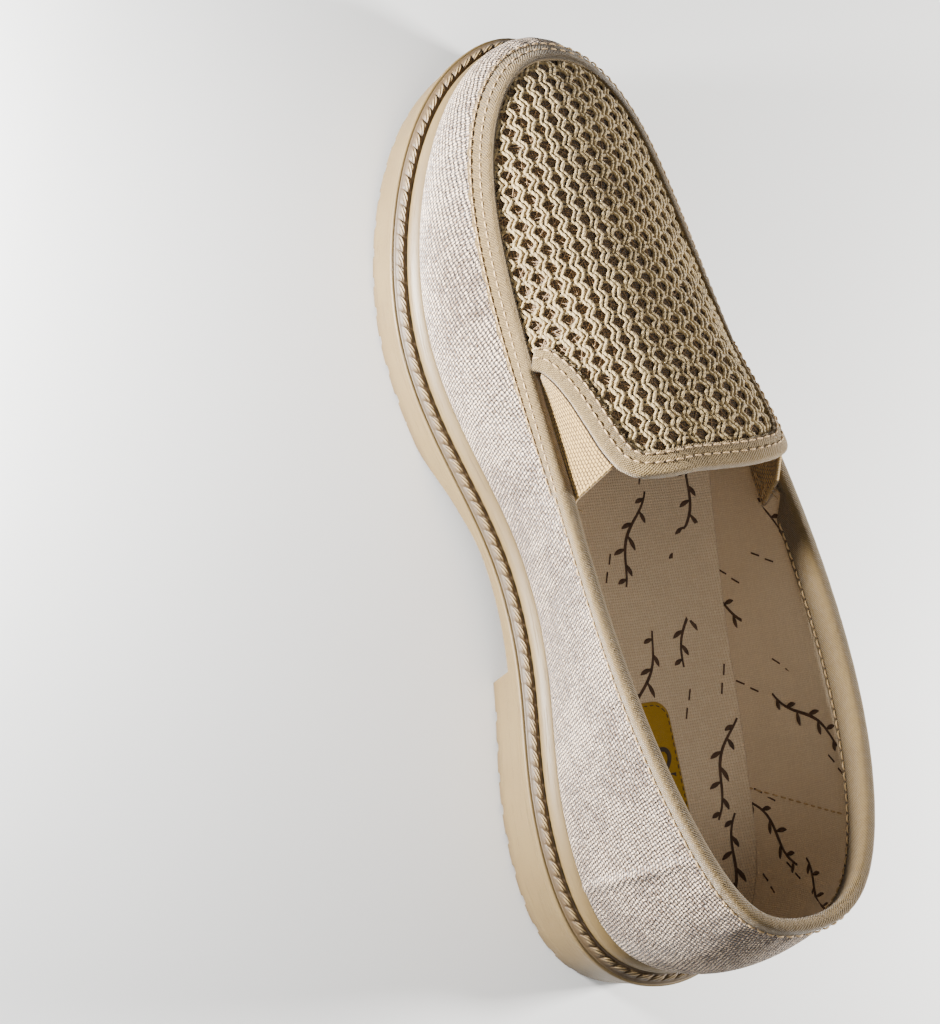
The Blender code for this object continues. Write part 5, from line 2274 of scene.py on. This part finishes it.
    def build_label(self) -> list[bpy.types.Object]:
        """Rounded label: rings from its rim to its middle, crowned a little, with a sewn edge, and a
        plain size number.

        Returns:
            Label, stitches and number.
        """
        corner = np.arange(4)[:, None] * math.pi / 2
        angle = (corner + np.linspace(0, math.pi / 2, 9)).ravel()
        sx = np.repeat([1, -1, -1, 1], 9) * (self.label_width / 2 - self.label_corner)
        sy = np.repeat([1, 1, -1, -1], 9) * (self.label_length / 2 - self.label_corner)
        ring = np.stack([sx, sy], -1) + self.label_corner * np.stack([np.cos(angle), np.sin(angle)], -1)
        x0, y0 = self.form.spot(self.label_station, self.label_side)
        rows = []
        for scale, lift in ((1.0, 0.05), (1.0, 0.45), (0.985, 0.62), (0.93, 0.66), (0.90, 0.5),
                            (0.75, 0.56), (0.5, 0.6), (0.25, 0.62), (0.02, 0.63)):
            x, y = x0 + ring[:, 0] * scale, y0 + ring[:, 1] * scale
            rows.append(np.stack([x, y, self.insole_height(x, y) + lift * MM], -1))
        points = np.stack(rows)
        uv = np.concatenate([points, points[:, :1]], axis=1)[..., :2] / MM
        skin = Skin()
        index = skin.grid(points, uv, wrap_columns=True)
        for row in (index[0][None, ::-1], index[-1][None]):
            skin.polygons(row, np.zeros((*row.shape, 2)))
        label = skin.build("size_tag", Cloth.LABEL.material(), closed=True, sharp=50)
        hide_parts("size_label")
        thread = Skin()
        edge = np.concatenate([ring, ring[:1]]) * 0.94
        x, y = x0 + edge[:, 0], y0 + edge[:, 1]
        line = np.stack([x, y, self.insole_height(x, y) + 0.66 * MM], -1)
        self.label_seam.sew(thread, None, line, np.broadcast_to(UP, line.shape))
        stitches = thread.build("size_tag_stitches", Cloth.LABEL_INK.material(), closed=True)
        return [label, stitches, self.build_number(x0, y0)]

    def build_number(self, x0: float, y0: float) -> bpy.types.Object:
        """Size number, as on any size label, read from the heel.

        Args:
            x0: middle of the label across the shoe.
            y0: middle of the label along it.

        Returns:
            The number.
        """
        words = bpy.data.curves.new("size_number", "FONT")
        words.body = self.number
        words.size = self.number_size
        words.align_x = "CENTER"
        words.align_y = "CENTER"
        words.extrude = 0.08 * MM
        maker = bpy.data.objects.new("size_number_text", words)
        bpy.context.collection.objects.link(maker)
        mesh = bpy.data.meshes.new_from_object(maker)
        bpy.data.objects.remove(maker)
        height = float(self.insole_height(np.array(x0), np.array(y0)))
        place = Matrix.Translation((x0 - self.number_off, y0, height + 0.66 * MM))
        mesh.transform(place @ Matrix.Rotation(math.pi, 4, "Z"))
        mesh.name = "size_number"
        mesh.materials.clear()
        mesh.materials.append(Cloth.LABEL_INK.material())
        number = bpy.data.objects.new("size_number", mesh)
        bpy.context.collection.objects.link(number)
        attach(number, "root")
        return number


@dataclass
class Studio:
    """Floor, soft lights and the camera at the photograph's angle."""
    form: Form
    focal_mm: float = 71.77
    sensor_mm: float = 36.0
    eye: tuple[float, float, float] = (0.33517, 0.07601, 0.52082)
    right: tuple[float, float, float] = (-0.8593, 0.1649, 0.4842)
    up: tuple[float, float, float] = (-0.0793, -0.9781, 0.1925)
    aim: tuple[float, float, float] = (0.0, 0.0, 0.04)
    floor_half: float = 3.0
    floor_drop: float = 0.1 * MM
    sky: Colour = (1.0, 0.985, 0.96)
    sky_strength: float = 0.30

    def place_camera(self) -> None:
        """Camera from its eye point and its right and up directions, made square to each other."""
        data = bpy.data.cameras.new("camera")
        data.lens = self.focal_mm
        data.sensor_width = self.sensor_mm
        data.clip_start = 0.02
        camera = bpy.data.objects.new("camera", data)
        bpy.context.collection.objects.link(camera)
        right = unit(np.array(self.right))
        back = unit(np.cross(right, np.array(self.up)))
        up = np.cross(back, right)
        eye = np.array(self.eye) + self.form.shift
        camera.matrix_world = self.turned(right, up, back, eye)
        bpy.context.scene.camera = camera

    def turned(self, *columns: Array) -> Matrix:
        """Matrix with these directions and this place as its columns."""
        return Matrix([*np.stack(columns, axis=1), (0, 0, 0, 1)])

    def light(self, name: str, at: tuple[float, float, float], size: float, power: float,
              colour: Colour = (1.0, 1.0, 1.0)) -> None:
        """Square soft light that looks at the shoe's middle.

        Args:
            name: of the light.
            at: its place.
            size: its side in metres.
            power: in watts.
            colour: of its light.
        """
        data = bpy.data.lights.new(name, "AREA")
        data.shape = "SQUARE"
        data.size = size
        data.energy = power
        data.color = colour
        lamp = bpy.data.objects.new(name, data)
        bpy.context.collection.objects.link(lamp)
        back = unit(np.array(at) - np.array(self.aim))
        side = unit(np.cross(UP, back))
        lamp.matrix_world = self.turned(side, np.cross(back, side), back, at)

    def build(self) -> None:
        """Floor, lights, world and camera."""
        self.place_camera()
        skin = Skin()
        line = np.linspace(-self.floor_half, self.floor_half, 3)
        x, y = np.meshgrid(line, line)
        points = np.stack([x, y, 0 * x - self.floor_drop], -1)
        skin.grid(points, points[..., :2], facing=np.broadcast_to(UP, points.shape))
        floor = skin.build("floor", Plain("floor", (0.90, 0.90, 0.885), (0.87, 0.87, 0.855), 0.6, 3.0,
                                          0.0).material())
        world = bpy.data.worlds.new("studio")
        world.use_nodes = True
        background = world.node_tree.nodes["Background"]
        background.inputs["Color"].default_value = (*self.sky, 1)
        background.inputs["Strength"].default_value = self.sky_strength
        bpy.context.scene.world = world
        self.light("left", (0.37, -0.13, 0.035), 0.06, 15.5)
        self.light("right", (-0.60, 0.16, 0.30), 0.12, 15.0, self.sky)
        self.light("top", (0.25, 0.40, 1.0), 0.5, 3.8)


def main() -> None:
    """Builds the looks, one sub-assembly after another."""
    logging.basicConfig(level=logging.INFO, format="%(message)s")
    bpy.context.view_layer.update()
    form = Form()
    thread, holes = Skin(), Skin()
    Studio(form).build()
    sole = Sole(form)
    sole.build_body()
    sole.build_rope()
    Band(form).build()
    Vamp(form).build()
    tapes = Tapes(form)
    tapes.build_binding(thread, holes)
    tapes.build_throat(thread, holes)
    for medial in (True, False):
        Gore(form, medial).build(thread)
    inside = Inside(form)
    inside.build_lining(thread)
    inside.build_insole()
    inside.build_print()
    inside.build_label()
    stitches = thread.build("stitches", Cloth.THREAD.material(), closed=True, sharp=80)
    # dark discs at the needle holes: painted shade
    hole_shade = holes.build("needle_hole_shade", Cloth.NEEDLE_HOLE.material(), closed=True, sharp=80)


if __name__ == "__main__":
    main()
